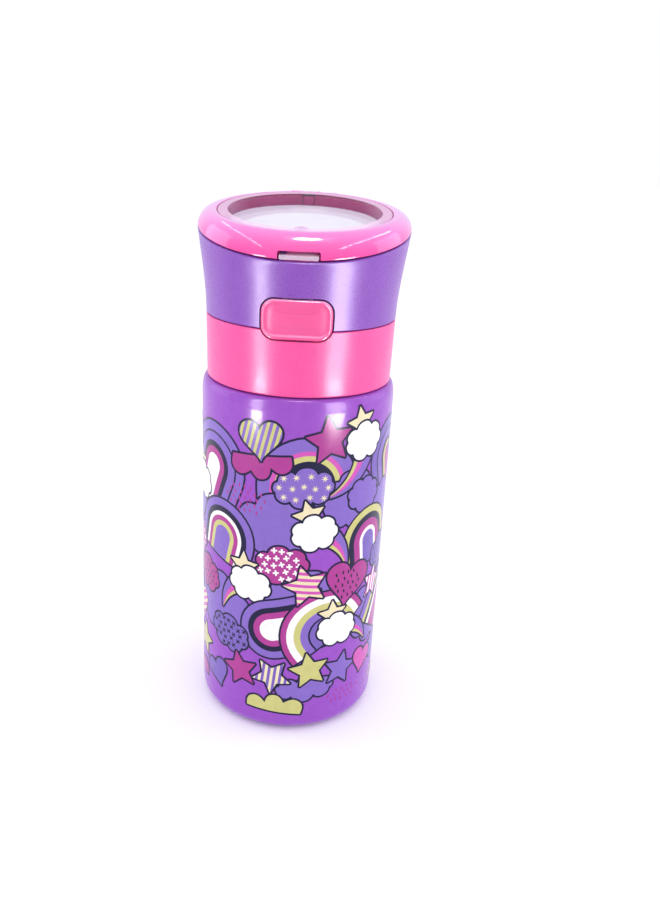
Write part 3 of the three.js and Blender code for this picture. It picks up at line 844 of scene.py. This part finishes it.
def draw_pattern():
    """One repeat of the pattern, from the back to the front."""
    line = ("navy", 0.75)
    # large shapes behind
    rainbow(-34, 108, 16.5, 15, -22, ("violet", 3.4), line, ("violet", 3.2), ("navy", 2.2), ("magenta", 2.6),
            ("white", 9))
    rainbow(6.5, 106, 18.5, 8, 4, ("violet", 4.6), ("pink", 1.7), ("yellow", 2.0), ("navy", 3.0),
            ("white", 2.4), ("violet", 9))
    rainbow(48, 112, 14.5, 12, 16, ("lilac", 3.4), line, ("violet", 3.0), ("navy", 1.8), ("yellow", 1.8),
            ("magenta", 9))
    cloud(-55, 116, 22, 17, "violet", 8)
    cloud(24, 100, 26, 26, "violet", 20, 8)
    cloud(-52, 92, 26, 24, "lilac", -10, 8)
    cloud(-4, 91, 38, 25, "violet", 6, 7)
    cloud(44, 92, 28, 24, "violet", 0, 8)
    cloud(8, 61, 40, 24, "violet", 0, 8)
    cloud(-30, 52, 36, 30, "violet", 14, 9)
    cloud(42, 48, 34, 34, "violet", -20, 9)
    # upper row
    rain(-17, 99.5, 17, 13, "magenta")
    comet(12, 124, 22.5, -8, -86, 4)
    cloud(5, 106, 27, 15, "violet", 4, 8, "sparks", "cream", 4.6)
    bank(-10.8, 112, 22.5, 9.5, "magenta", 184)
    heart(-11.2, 122, 16.4, "yellow", 4, stripes("violet", -11.2, 122, 12, 76))
    star(13.6, 123.4, 9.0, "magenta", 8)
    comet(-39, 87, 18.5, 116, 186, -6)
    moon(-54, 106, 5.6, "yellow", 35)
    cloud(30.5, 100.5, 19, 15, "violet", -6, 8)
    # middle rows
    rainbow(-28, 81, 15, 9, -14, ("violet", 2.9), ("navy", 2.3), ("white", 1.6), ("magenta", 2.0),
            ("yellow", 1.9), ("violet", 9))
    rainbow(35, 81, 13.5, 10, 8, ("yellow", 2.7), ("navy", 2.5), ("magenta", 3.0), ("white", 1.6),
            ("lilac", 9))
    comet(4, 75, 20, 66, -8, 8)
    cloud(-50, 74, 21, 16, "magenta", 0, 7, "pluses", "white", 3.4)
    cloud(47, 72, 21, 16, "lilac", 6, 7, "dashes", "navy", 2.7)
    cloud(-2, 75, 24, 16, "magenta", 6, 7, "pluses", "white", 3.3, 10)
    cloud(-39, 61, 21, 16, "magenta", -8, 7, "dashes", "navy", 2.7, -12)
    comet(-10, 54, 17.5, 112, 190, -8)
    rainbow(52, 50, 14, 14, -32, ("violet", 3.0), ("yellow", 2.0), ("navy", 2.0), ("white", 2.2),
            ("magenta", 9))
    rainbow(-5, 47, 12.5, 22, 105, ("violet", 2.9), ("navy", 2.3), ("magenta", 2.6), ("white", 9))
    rainbow(17, 45, 18.5, 3, 36, ("magenta", 2.2), ("white", 2.8), ("yellow", 2.6), ("violet", 3.0), line,
            ("lilac", 12))
    heart(25, 64.5, 20.5, "magenta", -10, field(25, 65, 19, 19, "dashes", "navy", 2.9, 10))
    star(7.4, 66.5, 8.8, "cream", 16, stripes("pink", 7.4, 66.5, 10, -6, 2.6))
    star(41, 60, 7.2, "pink", -14, stripes("white", 41, 60, 9, 80, 2.4))
    comet(21, 35, 16.5, 88, 2, -4)
    cloud(-24, 40.5, 23, 16, "lilac", -14, 7, "crosses", "navy", 3.0)
    heart(-47, 43, 15.5, "pink", 16, stripes("cream", -47, 43, 11, 30, 2.6))
    cloud(49, 28, 20, 12, "lilac", 10)
    # bottom row
    cloud(9, 20.5, 30, 9, "violet", 4, 8)
    star(-43, 29, 7.8, "yellow", -10)
    heart(-30.5, 18.5, 13.8, "lilac", 24)
    star(-18, 26, 8.0, "magenta", 14)
    star(-4.6, 26, 8.0, "lilac", 34, stripes("cream", -4.6, 26, 9, 84, 2.3))
    star(10.3, 29, 8.2, "yellow", 10)
    star(24, 27, 7.8, "violet", -12)
    heart(37, 25.5, 13, "pink", -14)
    bank(-3.2, 13.6, 22, 8.2, "yellow", -5)
    rain(27, 14.5, 19, 6.5, "magenta")
    bank(-50, 15, 20, 8, "magenta", 5)
    rain(52, 13.5, 14, 6, "yellow")


def partition(shapes):
    """Cuts the painted shapes into triangles, each with the ink that shows there."""
    verts, faces = [], []
    for outline, *_ in shapes:
        faces.append(list(range(len(verts), len(verts) + len(outline))))
        verts += [Vector(p) for p in outline]
    edges = []
    strips = round(TILE / STRIP)
    for k in range(strips + 1):
        u = -TILE / 2 + TILE * k / strips
        edges.append((len(verts), len(verts) + 1))
        verts += [Vector((u, 0)), Vector((u, SHELL_TOP))]
    points, _, triangles, _, _, covers = delaunay_2d_cdt(verts, edges, faces, 1, 1e-5, True)
    by_ink = {}
    for triangle, cover in zip(triangles, covers):
        middle = sum(points[i].x for i in triangle) / 3
        if abs(middle) > TILE / 2 or not cover:
            continue
        fills = [i for i in cover if not shapes[i][3]]
        if not fills:
            continue
        base = max(fills)
        shown = [i for i in cover if shapes[i][3] and shapes[i][2] == shapes[base][2]]
        ink = shapes[max(shown, default=base)][1]
        by_ink.setdefault(ink, []).append(triangle)
    return points, by_ink


def ink_object(name, points, triangles):
    """One ink's areas as a thin closed layer round the body, its underside just in the paint."""
    outside, inside = BODY_R + INK_HEIGHT, BODY_R - 0.02
    bm = bmesh.new()
    for half in (0.0, pi):
        made = {}
        for triangle in triangles:
            corners = []
            for i in triangle:
                if i not in made:
                    a = points[i].x / BODY_R + half
                    made[i] = bm.verts.new((outside * sin(a), -outside * cos(a), points[i].y))
                corners.append(made[i])
            bm.faces.new(corners)
    bmesh.ops.remove_doubles(bm, verts=bm.verts, dist=1e-3)
    bmesh.ops.dissolve_degenerate(bm, edges=bm.edges, dist=1e-4)
    top = list(bm.faces)
    rim = [e for e in bm.edges if len(e.link_faces) == 1]
    below = {}
    shrink = inside / outside
    for vert in list(bm.verts):
        below[vert] = bm.verts.new((vert.co.x * shrink, vert.co.y * shrink, vert.co.z))
    for face in top:
        bm.faces.new([below[v] for v in reversed(face.verts)])
    for edge in rim:
        a, b = edge.verts
        bm.faces.new((a, b, below[b], below[a]))
    mesh = bpy.data.meshes.new(name)
    bm.to_mesh(mesh)
    bm.free()
    return outward(in_scene(name, mesh))


def round_normals(obj):
    """Shades the outside of a wrapped layer as the true cylinder."""
    mesh = obj.data
    normals = []
    for face in mesh.polygons:
        flat = face.normal.copy()
        for i in face.vertices:
            co = mesh.vertices[i].co
            radial = Vector((co.x, co.y, 0)).normalized()
            normals.append(radial if flat.dot(radial) > 0.9 else flat)
    mesh.normals_split_custom_set(normals)


INKS = {
    "navy": (10, 7, 58), "violet": (136, 106, 200), "lilac": (124, 98, 190), "magenta": (178, 58, 150),
    "pink": (212, 86, 186), "yellow": (208, 204, 130), "cream": (242, 228, 190), "white": (252, 250, 252),
}

draw_pattern()
flat_points, ink_areas = partition(art.shapes)
for ink, areas in sorted(ink_areas.items()):
    colour = INKS[ink]
    shade = tuple(c * 0.96 for c in colour)
    layer = ink_object("print", flat_points, areas)
    place(layer, "print_" + ink, "bottle", lacquer("ink_" + ink, colour, shade), "painted_shell")
    round_normals(layer)

# ---------- cap ----------

VENT_Y = 19.0
PAD_HALF = BUTTON_HIGH.x
PAD_CORNER = 4.6
PAD_INSET = 0.14  # the pad stands this far inside its CAD node, so that its gap shows as a dark line


def pad_outline(margin):
    """The button's rounded outline in (x, z), grown by a margin."""
    half, corner = PAD_HALF + margin, PAD_CORNER + margin
    low, high = BUTTON_LOW.z - margin, BUTTON_HIGH.z + margin
    out = []
    for cx, cz, start in ((half - corner, low + corner, -90), (half - corner, high - corner, 0),
                          (-half + corner, high - corner, 90), (-half + corner, low + corner, 180)):
        out += arc(cx, cz, corner, corner, start, start + 90, 8)
    return out


def pad_cutter(y1):
    """What makes room for the button, from in front of the cap back to y1."""
    return prism("pad", pad_outline(0.38), -40, y1, lambda x, z, y: (x, y, z))


def hinge_bore(gap):
    return rod(PIN_R + gap, -12, 12, PIN_Y, PIN_Z)


def cap_base():
    low, high = BAND_LOW.z, BAND_HIGH.z
    r_low, sleeve, sleeve_wall, web, mouth, wall = 34.1, 28.6, 2.0, 158.3, 25.4, 2.1
    profile = soften([
        (r_low - wall, low, 0.3), (r_low, low, 0.6), (BAND_R, high, 0.35), (mouth, high - GAP, 0.2),
        (mouth, web, 0.3), (sleeve, web), (sleeve, low + 1.2, 0.3), (sleeve + sleeve_wall, low + 1.2, 0.3),
        (sleeve + sleeve_wall, web - 1.2), (BAND_R - wall, web - 1.2),
    ])
    return cut(join(lathe("cap_base", profile), thread(sleeve, -1, 141.0)), pad_cutter(-30.2))


def collar_shell():
    bottom = COLLAR_LOW.z

    def section(a):
        top = rim_z(0)
        for _ in range(6):
            top = rim_z(-collar_r(top) * cos(a))
        outer = [bottom + 0.25 + (top - 0.7 - bottom - 0.25) * i / 16 for i in range(17)]
        out = [(collar_r(bottom) - 0.25, bottom)] + [(collar_r(z), z) for z in outer]
        middle = collar_r(top) - COLLAR_WALL / 2
        out += arc(middle, top - 0.7, COLLAR_WALL / 2, 0.7, 12, 168, 8)
        out += [(collar_r(z) - COLLAR_WALL, z) for z in reversed(outer)]
        return out + [(collar_r(bottom) - COLLAR_WALL + 0.1, bottom)]

    obj = lathe("collar", section)
    eye = arc(PIN_Y, PIN_Z - 0.2, EYE_R, EYE_R, -65, 80, 16)
    outline = [(34, 187), (PIN_Y + 1.2, PIN_Z - EYE_R + 0.2)] + eye + [(34, rim_z(38) - 0.5)]
    arms = [plate("arm", outline, *sorted((s * 7.5, s * 10.5)), bevel=0.45) for s in (-1, 1)]
    boss = plate("boss", belt(LOOP_Y, LOOP_Z, 3.8, (34.2, 175.5), (34.2, 187)), -13.0, 13.0, bevel=0.4)
    bore = post(31.9, 150, 210)
    cut(arms[0], post(34.4, 150, 192))
    obj = join(obj, *arms, boss)
    return cut(
        obj, bore, pad_cutter(-26), block(-7.5, 7.5, 30, 42, 191.5, 210),
        block(-5.2, 5.2, -34.4, -28, 175.4, 190), hinge_bore(0.1),
        rod(1.4, -14, 14, LOOP_Y, LOOP_Z),
    )


def belt(y, z, radius, low, high):
    """Outline that wraps a round eye and runs to two far points: counter-clockwise in (y, z)."""

    def touch(p, side):
        away = hypot(p[0] - y, p[1] - z)
        return (atan2(p[1] - z, p[0] - y) + side * acos(radius / away)) * 180 / pi

    start, stop = touch(low, 1), touch(high, -1)
    while stop < start:
        stop += 360
    return [high, low] + arc(y, z, radius, radius, start, stop, 20)


def deck_plate():
    radius, plug, wall, bottom = 31.9, 24.9, 2.0, 150.5
    profile = [
        (0, DECK_UNDER), (plug - wall, DECK_UNDER), (plug - wall, bottom + 0.4), (plug - wall + 0.4, bottom),
        (plug - 0.5, bottom), (plug, bottom + 0.5), (plug, DECK_UNDER), (radius, DECK_UNDER),
        (radius, DECK_TOP - 0.3), (radius - 0.3, DECK_TOP), (14, DECK_TOP), (13.6, DECK_TOP - 0.3),
        (13.0, DECK_TOP - 0.3), (12.6, DECK_TOP), (0, DECK_TOP),
    ]
    front = block(-14.6, 14.6, -25.6, -24.4, DECK_TOP - 1, 181, 0.25)
    sides = [block(x, x + 1.2, -28, -24.5, DECK_TOP - 1, 180.9, 0.25) for x in (-14.6, 13.4)]
    return cut(
        join(lathe("deck", profile), front, *sides), block(-13.2, 13.2, -40, -26.9, 150, 170),
        post(6.0, 140, 170, SPOUT_Y, 48), post(1.8, 140, 170, VENT_Y, 32),
    )


def cap_gasket():
    """Seal with two soft lips."""
    inner, outer, low, high = 25.2, 28.2, 156.75, 158.0
    middle = (inner + outer) / 2
    corners = [(inner, low, 0.3), (middle - 0.5, low, 0.2), (middle, low + 0.3, 0.2)]
    corners += [(middle + 0.5, low, 0.2), (outer, low, 0.3), (outer, high, 0.3), (inner, high, 0.3)]
    return lathe("cap_gasket", soften(corners))


def vent_valve():
    under, top = DECK_UNDER - GAP, DECK_TOP + GAP
    profile = [
        (0, under - 1.6), (2.3, under - 1.2), (2.6, under - 0.5), (2.6, under), (1.5, under), (1.5, top),
        (3.3, top), (3.4, top + 0.2), (3.1, top + 0.7), (2.2, top + 1.1), (1.0, top + 1.3), (0.6, top + 1.1),
        (0, top + 1.05),
    ]
    return moved(lathe("vent_valve", profile, 48), (0, VENT_Y, 0))


place(cap_base(), "cap_band", "cap", BAND, "band_pink", "cap_base")
place(collar_shell(), "cap_collar", "cap", COLLAR, "collar_purple", "collar")
place(deck_plate(), "cap_deck", "cap", COLLAR, "collar_purple", "deck")
place(cap_gasket(), "neck_seal_ring", "neck_seal", SOFT_CLEAR, "silicone_clear", "cap_gasket")
place(vent_valve(), "vent_flap", "cap", SOFT_CLEAR, "silicone_clear", "vent_valve")

# ---------- spout and straw ----------

SPOUT_REACH = 35.5
SPOUT_FOLD = radians(78)
SPOUT_TRAVEL = radians(81)
BEND_FROM, BEND_TO = -7.0, 10.0  # heights about the pivot between which the soft neck bends


def spout_section():
    """The upright spout with its foot, heights counted from the pivot."""
    seat, under = DECK_TOP + GAP - SPOUT_Z, DECK_UNDER - GAP - SPOUT_Z
    straw_top = 158 - SPOUT_Z
    bore = 2.5
    outside = [(3.6, straw_top - 6), (5.2, straw_top - 6), (5.6, under), (5.6, seat), (9.3, seat)]
    outside += [(9.6, seat + 0.3), (9.6, seat + 0.9), (9.2, seat + 1.2), (6.4, seat + 1.5)]
    outside += [(5.9, seat + 2.2)]
    neck = [(5.9 + 0.75 * (1 - cos(2 * pi * k / 5)) / 2 + 0.6 * k / 20, seat + 2.2 + 11.0 * k / 20)
            for k in range(1, 21)]
    shoulder = [(7.4, 7.2), (8.0, 8.6), (8.2, 10.5), (8.15, 13.5)]
    tip = [(8.1 - 1.8 * k / 10, 13.5 + (SPOUT_REACH - 15.0) * k / 10) for k in range(1, 11)]
    crown = arc(5.1, SPOUT_REACH - 1.2, 1.2, 1.2, 10, 90, 6)
    crown += [(3.2, SPOUT_REACH - 0.1), (2.6, SPOUT_REACH - 0.6), (bore, SPOUT_REACH - 1.6)]
    inside = [(bore, SPOUT_REACH - 2 - 38 * k / 24) for k in range(1, 24)]
    inside += [(bore, straw_top + 0.6), (3.6, straw_top + 0.4)]
    return outside + neck + shoulder + tip + crown + inside


def spout_piece():
    """The soft spout and foot in one, folded back as it lies under the closed lid."""
    obj = lathe("spout", spout_section(), 72)
    pivot = Vector((0, SPOUT_Y, SPOUT_Z))
    lean = SPOUT_TRAVEL - SPOUT_FOLD  # it leans a little to the front when it stands
    direction = Vector((0, sin(SPOUT_FOLD / 2), cos(SPOUT_FOLD / 2)))
    for vert in obj.data.vertices:
        upright = vert.co.copy()
        if upright.z > BEND_FROM:
            share = min(1.0, (upright.z - BEND_FROM) / (BEND_TO - BEND_FROM))
            upright = Matrix.Rotation(lean * share, 3, "X") @ upright
        low, high = 0.0, 1.0
        for _ in range(30):
            weight = (low + high) / 2
            folded = Matrix.Rotation(-SPOUT_TRAVEL * weight, 3, "X") @ upright
            t = (folded.dot(direction) - BEND_FROM) / (BEND_TO - BEND_FROM)
            t = min(1.0, max(0.0, t))
            if t * t * (3 - 2 * t) > weight:
                low = weight
            else:
                high = weight
        vert.co = folded + pivot
    return obj, (pivot + direction * BEND_FROM) / MM, (pivot + direction * BEND_TO) / MM


def straw_tube():
    low, high = node_box("straw")
    profile = soften([(2.6, low.z, 0.15), (3.5, low.z, 0.3), (3.5, high.z, 0.3), (2.6, high.z, 0.15)])
    obj = lathe("straw", profile, 64)
    slant = moved(block(-6, 6, -6, 6, -18.8, 1.2), (0, 0, low.z), 24)  # the foot is cut at a slant
    return moved(cut(obj, slant), (0, SPOUT_Y, 0))


soft_spout, bend_start, bend_end = spout_piece()
place(soft_spout, "soft_spout", "cap", SOFT_PINK, "silicone_pink", "spout", "spout_boot")
soft_spout.parent = None
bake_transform(soft_spout)
place(straw_tube(), "drinking_straw", "cap", STRAW, "straw_plastic", "straw")

# ---------- lid ----------


def lid_bezel():
    def section(a):
        z = RIM_Z
        for _ in range(8):
            edge = collar_r(z)
            z = rim_z(-edge * cos(a))
        foot = z + 0.35
        inner = FLANGE_R + 0.25
        y = lambda r: -r * cos(a)
        crest = window_z(y(inner)) + 0.05
        out = [(inner, crest - 0.15), (inner + 0.2, crest)]
        base = foot + 0.4 + 0.15 * cos(a)
        last = 16
        low, side = sin(radians(last)), cos(radians(last))
        for u, v in arc(0, 0, 1, 1, 90, last, 26):
            r = inner + 0.6 + (edge - 0.05 - inner - 0.6) * u / side
            out.append((r, base + (crest - base) * (v - low) / (1 - low)))
        out += [(edge - 0.1, foot + 0.12), (edge - 0.3, foot)]
        skirt, well = 33.3, DISH_R + GAP
        for r, above_rim in ((skirt + 0.3, 0.35), (skirt, 0.1), (skirt, -1.8), (skirt - 0.2, -2.0),
                             (well + 0.2, -2.0), (well, -1.8)):
            out.append((r, rim_z(y(r)) + above_rim))
        return out + [(r, window_z(y(r)) - 1.5) for r in (well, inner)]

    lug = belt(PIN_Y, PIN_Z, EYE_R, (33.5, 197), (33.5, 200.3))
    lugs = [plate("lug", lug, *ends, bevel=0.35) for ends in ((2.3, 4.3), (-7.2, -2.3))]
    front = rim_z(-36)
    half, top = NOTCH_HALF, front + NOTCH_HIGH
    outline = soften([(-half, 170), (half, 170), (half - 0.3, top, 0.8), (-half + 0.3, top, 0.8)])
    opening = prism("notch", outline, -45, -33.6, lambda x, z, y: (x, y, z))
    return cleaned(cut(
        join(lathe("bezel", section), *lugs), opening, block(-6.3, 6.3, -33.7, -26, 170, 187.8),
        block(-2.3, 2.3, 26, 36, 190, 199.6), hinge_bore(0.15),
    ), 0.008)


def lid_window():
    floor, flange = 1.6, 1.2
    inner = DISH_R - DISH_WALL
    profile = [(0, -DISH_DEPTH - floor)] + arc(DISH_R - 0.8, -DISH_DEPTH - floor + 0.8, 0.8, 0.8, -90, 0, 5)
    profile += [(DISH_R, -flange), (FLANGE_R, -flange), (FLANGE_R, -0.3)]
    profile += arc(FLANGE_R - 0.3, -0.3, 0.3, 0.3, 0, 90, 4) + arc(inner + 0.4, -0.4, 0.4, 0.4, 90, 180, 4)
    profile += arc(inner - 0.9, -DISH_DEPTH + 0.9, 0.9, 0.9, 0, -90, 6) + [(0, -DISH_DEPTH)]
    gate = [(0, -0.3), (2.4, -0.3), (2.4, 0.3), (2.15, 0.5), (1.75, 0.42), (1.3, 0.12), (0, 0.06)]
    gate = moved(lathe("gate", [(r, z - DISH_DEPTH) for r, z in gate], 40), (*GATE, 0))
    dish = shear(join(lathe("window", profile), gate), WINDOW_SLOPE, WINDOW_Z)
    tab = shear(block(-6.4, 6.4, -36.2, -30.9, GAP, 1.7, 0.45), RIM_SLOPE, RIM_Z)
    bridge = block(-4, 4, -32.3, -27, 185.9, 187.4)
    tongue = block(-4, 4, -32.3, -30.9, 177, 187.4, 0.25)
    hook = block(-4, 4, -32.2, -30.4, 177.1, 178.6, 0.25)
    return join(dish, tab, bridge, tongue, hook)


def window_lug():
    """The window's own lug between the ring's two, moulded in the ring's colour and drawn in its darker pink
    as painted shade, since it lies in shade under the window's rim.
    """
    start = DISH_R + 0.1
    outline = belt(PIN_Y, PIN_Z, EYE_R, (start, 195.4), (start, 198.4))
    return cut(plate("lug", outline, -2, 2, bevel=0.3), hinge_bore(0.15))


def in_painted_shade(p, normal):
    """Faces that get the darker pink as painted shade: under the window, round the notch and along the
    ring's lower edge, where shade falls.
    """
    out = hypot(p.x, p.y)
    under_window = out < FLANGE_R + 0.28 and p.z < window_z(p.y) - 0.2
    lower_edge = out > 32 and p.z < rim_z(p.y) + 0.6
    low = p.z < rim_z(-36) + NOTCH_HIGH + 0.05
    in_notch = abs(p.x) < NOTCH_HALF + 0.05 and p.y < -25 and low and normal.z < 0.1
    return under_window or lower_edge or in_notch


def on_rim(p, normal):
    """The window's flat rim round its dish, and the gate mark on its floor."""
    above_floor = p.z > window_z(p.y) - DISH_DEPTH + 0.04
    gate = hypot(p.x - GATE[0], p.y - GATE[1]) < 2.6 and above_floor
    return gate or (p.y > TAB_FROM and hypot(p.x, p.y) > DISH_R - 0.4 and p.z > window_z(p.y) - 0.35)


lid_ring = place(lid_bezel(), "lid_ring", "lid", LID, "lid_pink", "lid_bezel", sharp=20)
# The ring's faces in shadow get the darker pink: painted shade.
second_finish(lid_ring, LID_PAINTED_SHADE, in_painted_shade)
lid_pane = place(lid_window(), "lid_pane", "lid", CLEAR, "clear_plastic", "lid_window")
# The finger tab gets the paler clear plastic: painted glints.
second_finish(lid_pane, CLEAR_TAB_PAINTED_GLINT, lambda p, normal: p.y < TAB_FROM)
# The flat rim and gate mark get the light pink-lilac: on the rim a painted reflection.
second_finish(lid_pane, CLEAR_RIM_PAINTED_REFLECTION, on_rim)
# The lug gets the darker pink: painted shade.
place(window_lug(), "lid_lug", "lid", LID_PAINTED_SHADE, "lid_pink")

# ---------- button and catch ----------


def push_button():
    """Pillowed pad with a soft raised edge that follows the curve of the cap."""

    def skin(x, z, height):
        radius = (BAND_R if z < FLARE_FROM else collar_r(z)) + height
        return x, -sqrt(radius * radius - x * x), z

    back, dent = -0.5, 0.81
    low, high = BUTTON_LOW.z, BUTTON_HIGH.z
    middle = (low + high) / 2

    def shrunk(shape, share, height):
        return [skin(x * share, middle + (z - middle) * share, height) for x, z in shape]

    edge = pad_outline(-PAD_INSET)
    loops = [shrunk(edge, 0.3, back), shrunk(edge, 0.62, back)]
    for inset, height in [(0.0, back), (0.0, 0.3), (0.12, 0.62), (0.35, 0.9), (0.65, 1.06), (0.95, 1.08),
                          (1.25, 0.96), (1.5, 0.78), (1.75, 0.66), (2.1, 0.62), (2.8, 0.64), (4.0, 0.7)]:
        edge = pad_outline(-min(inset + PAD_INSET, PAD_CORNER - 0.3))
        loops.append([skin(x, z, height) for x, z in edge])
    loops += [shrunk(edge, 0.62, 0.76), shrunk(edge, 0.3, 0.8)]
    count = len(edge)
    verts = [p for loop in loops for p in loop] + [skin(0, middle, back), skin(0, middle, dent)]
    faces = loop_quads(len(loops), count)
    for first, tip in ((0, len(verts) - 2), ((len(loops) - 1) * count, len(verts) - 1)):
        faces += [(first + k, first + (k + 1) % count, tip) for k in range(count)]
    stem = block(-6.5, 6.5, -34.1, -30.4, 162, 170, 0.3)
    return join(mesh_object("button", verts, faces), stem)


def catch():
    slider = block(-5, 5, -30.1, -28.9, 162.5, 180.4, 0.25)
    return join(slider, block(-4, 4, -30.3, -29.2, 179, 180.3, 0.2))


def coil_path(radius, wire, length, turns):
    """Points of a coil along +Z."""
    steps = 28
    total = int(turns * steps)
    out = []
    for i in range(total + 1):
        angle = 2 * pi * i / steps
        share = i / total
        out.append((radius * cos(angle), radius * sin(angle), wire / 2 + (length - wire) * share))
    return out


def button_spring():
    return moved(tube("button_spring", coil_path(1.8, 0.45, 2.8, 2.5), 0.225), (0, -28.6, 168), -90)


place(push_button(), "push_button", "button", BUTTON, "button_pink", "button", sharp=40)
place(catch(), "catch_slider", "button", CATCH, "catch_white", "latch_slider")
return_spring = place(button_spring(), "return_spring", "cap", WIRE, "spring_steel", "button_spring")
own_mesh(return_spring)

# ---------- hinge and carry loop ----------


def lid_spring():
    """Torsion spring on the hinge pin, beside the lid's lug."""
    return moved(tube("lid_spring", coil_path(2.35, 0.6, 2.4, 3.25), 0.3), (4.7, PIN_Y, PIN_Z), 90, "Y")


def carry_loop():
    """Tapered bail with a rounded cross bar and three grip ribs on it."""
    length, inside, arm, eye, tip, bar = 56.0, 13.4, 3.5, 4.0, 1.7, 8.5
    outer = inside + arm
    thick = tip + 0.15
    corners = [(-outer, -length, 5.0), (outer, -length, 5.0), (outer, -length + bar, 1.2),
               (-outer, -length + bar, 1.2)]
    obj = prism("loop", soften(corners, 6), -thick, thick, lambda x, z, y: (x, y, z))
    rounded(obj, 0.6)
    shape = belt(0, 0, eye, (tip, -length + 3), (-tip, -length + 3))
    for side in (-1, 1):
        ends = sorted((side * inside, side * (outer - 0.06)))
        join(obj, plate("arm", shape, *ends, bevel=0.7))
    for z in (-length + 2.4, -length + 4.2, -length + 6.0):
        join(obj, block(-9, 9, -thick - 0.35, -thick + 0.4, z - 0.45, z + 0.45, 0.2))
    return moved(cut(obj, rod(1.45, -20, 20, 0, 0)), (0, LOOP_Y, LOOP_Z), LOOP_TILT)


place(rod(PIN_R, -10.3, 10.3, PIN_Y, PIN_Z, 0.3), "hinge_axle", "cap", WIRE, "spring_steel", "hinge_pin")
place(lid_spring(), "lid_coil", "cap", WIRE, "spring_steel", "lid_spring")
place(carry_loop(), "carry_loop", "handle", COLLAR, "collar_purple", "handle")
for node, side in (("handle_pin_left", -1), ("handle_pin_right", 1)):
    ends = sorted((side * 8.3, side * 16.7))
    pin = rod(1.3, *ends, LOOP_Y, LOOP_Z, 0.25)
    place(pin, node.replace("handle", "loop"), "cap", WIRE, "spring_steel", node)

# ---------- stage, light and camera ----------


def softbox(name, azimuth, elevation, distance, width, height, power, target=(0, 0, 0.13), shape="RECTANGLE",
            diffuse=False):
    """An area light that faces the object. Azimuth 0 is in front and 90 to the right.
    Without diffuse it only shows as a highlight."""
    data = bpy.data.lights.new(name, "AREA")
    data.shape = shape
    data.size = width
    data.size_y = height
    data.energy = power
    obj = in_scene(name, data)
    a, e = radians(azimuth), radians(elevation)
    reach = distance * cos(e)
    out = Vector((reach * sin(a), -reach * cos(a), distance * sin(e)))
    obj.location = Vector(target) + out
    obj.rotation_euler = (Vector(target) - obj.location).to_track_quat("-Z", "Y").to_euler()
    obj.visible_camera = False
    obj.visible_diffuse = diffuse
    return obj


def tube_light(name, start, end):
    """A thin straight light beside the object, seen only as a line in glossy surfaces."""
    width, power = 0.012, 0.5
    a, b = Vector(start), Vector(end)
    obj = softbox(name, 0, 0, 1.0, (b - a).length, width, power)
    middle = (a + b) / 2
    along = (b - a).normalized()
    out = (middle - Vector((0, 0, 0.19))).normalized()
    out = (out - along * out.dot(along)).normalized()
    turn = Matrix((along, out.cross(along), out)).transposed()
    obj.matrix_world = Matrix.Translation(middle) @ turn.to_4x4()


def floor():
    size = 6.0
    verts = [(-size, -size, 0), (size, -size, 0), (size, size, 0), (-size, size, 0)]
    obj = mesh_object("floor", verts, [(0, 1, 2, 3)])
    finish = Finish("floor_white", Emission_Color=(1, 1, 1, 1), Emission_Strength=0.04)
    finish.colours(400.0, (255, 255, 255), (253, 253, 254))
    finish.roughness(finish.noise(90.0), 0.75, 0.85)
    obj.data.materials.append(finish.material)
    obj.location.z = -0.0002  # just under the feet of the bottle


floor()
# the front lights stand close, so that they don't graze the limbs in views from behind
CAP_MIDDLE, SHOULDER = (0, 0, 0.1503), (0, 0, 0.1129)
softbox("softbox_left", -37.1, 0, 0.1007, 0.0205, 0.0516, 0.0514, CAP_MIDDLE)
softbox("softbox_right", 40.1, 0, 0.1005, 0.0352, 0.0516, 0.0848, CAP_MIDDLE)
softbox("shoulder_left", -37.1, 0, 0.1007, 0.0205, 0.0135, 0.043, SHOULDER, "ELLIPSE")
softbox("shoulder_right", 40.1, 0, 0.1005, 0.0323, 0.0135, 0.058, SHOULDER, "ELLIPSE")
softbox("softbox_high", 6, 60, 0.6, 0.22, 0.13, 2.2, (0, 0, 0.19), "ELLIPSE")
softbox("softbox_top", 10, 62, 1.2, 0.8, 0.5, 1.0, diffuse=True)
for name, azimuth in (("side_left", -102), ("side_right", 102)):
    side = softbox(name, azimuth, 15, 0.9, 0.6, 0.6, 1.7, (0, 0, 0.12), diffuse=True)
    side.data.color = (0.9, 0.84, 1.0)
tube_light("tube_left", (-0.42, -0.48, 0.44), (-0.42, 0.57, 0.77))
tube_light("tube_right", (0.42, -0.48, 0.50), (0.42, 0.27, 0.55))
world = bpy.data.worlds.new("studio")
world.use_nodes = True
background = world.node_tree.nodes["Background"].inputs
background["Color"].default_value = (1.0, 1.0, 1.0, 1.0)
background["Strength"].default_value = 1.0
bpy.context.scene.world = world
bpy.context.scene.view_settings.view_transform = "Standard"


def camera():
    """A camera in front, about 24 degrees above the horizon and rolled a little."""
    data = bpy.data.cameras.new("camera")
    data.sensor_width = 36
    data.lens = 34.04
    data.shift_x, data.shift_y = 0.038, 0.0738
    data.clip_start, data.clip_end = 0.01, 20
    obj = in_scene("camera", data)
    yaw, pitch, roll = -0.036, -0.421, 0.042
    forward = Vector((sin(yaw) * cos(pitch), cos(yaw) * cos(pitch), sin(pitch)))
    level = Vector((cos(yaw), -sin(yaw), 0))
    upright = level.cross(forward)
    right = level * cos(roll) + upright * sin(roll)
    up = upright * cos(roll) - level * sin(roll)
    turn = Matrix((right, up, -forward)).transposed()
    obj.matrix_world = Matrix.Translation((0.0125, -0.31384, 0.21972)) @ turn.to_4x4()
    bpy.context.scene.camera = obj


camera()
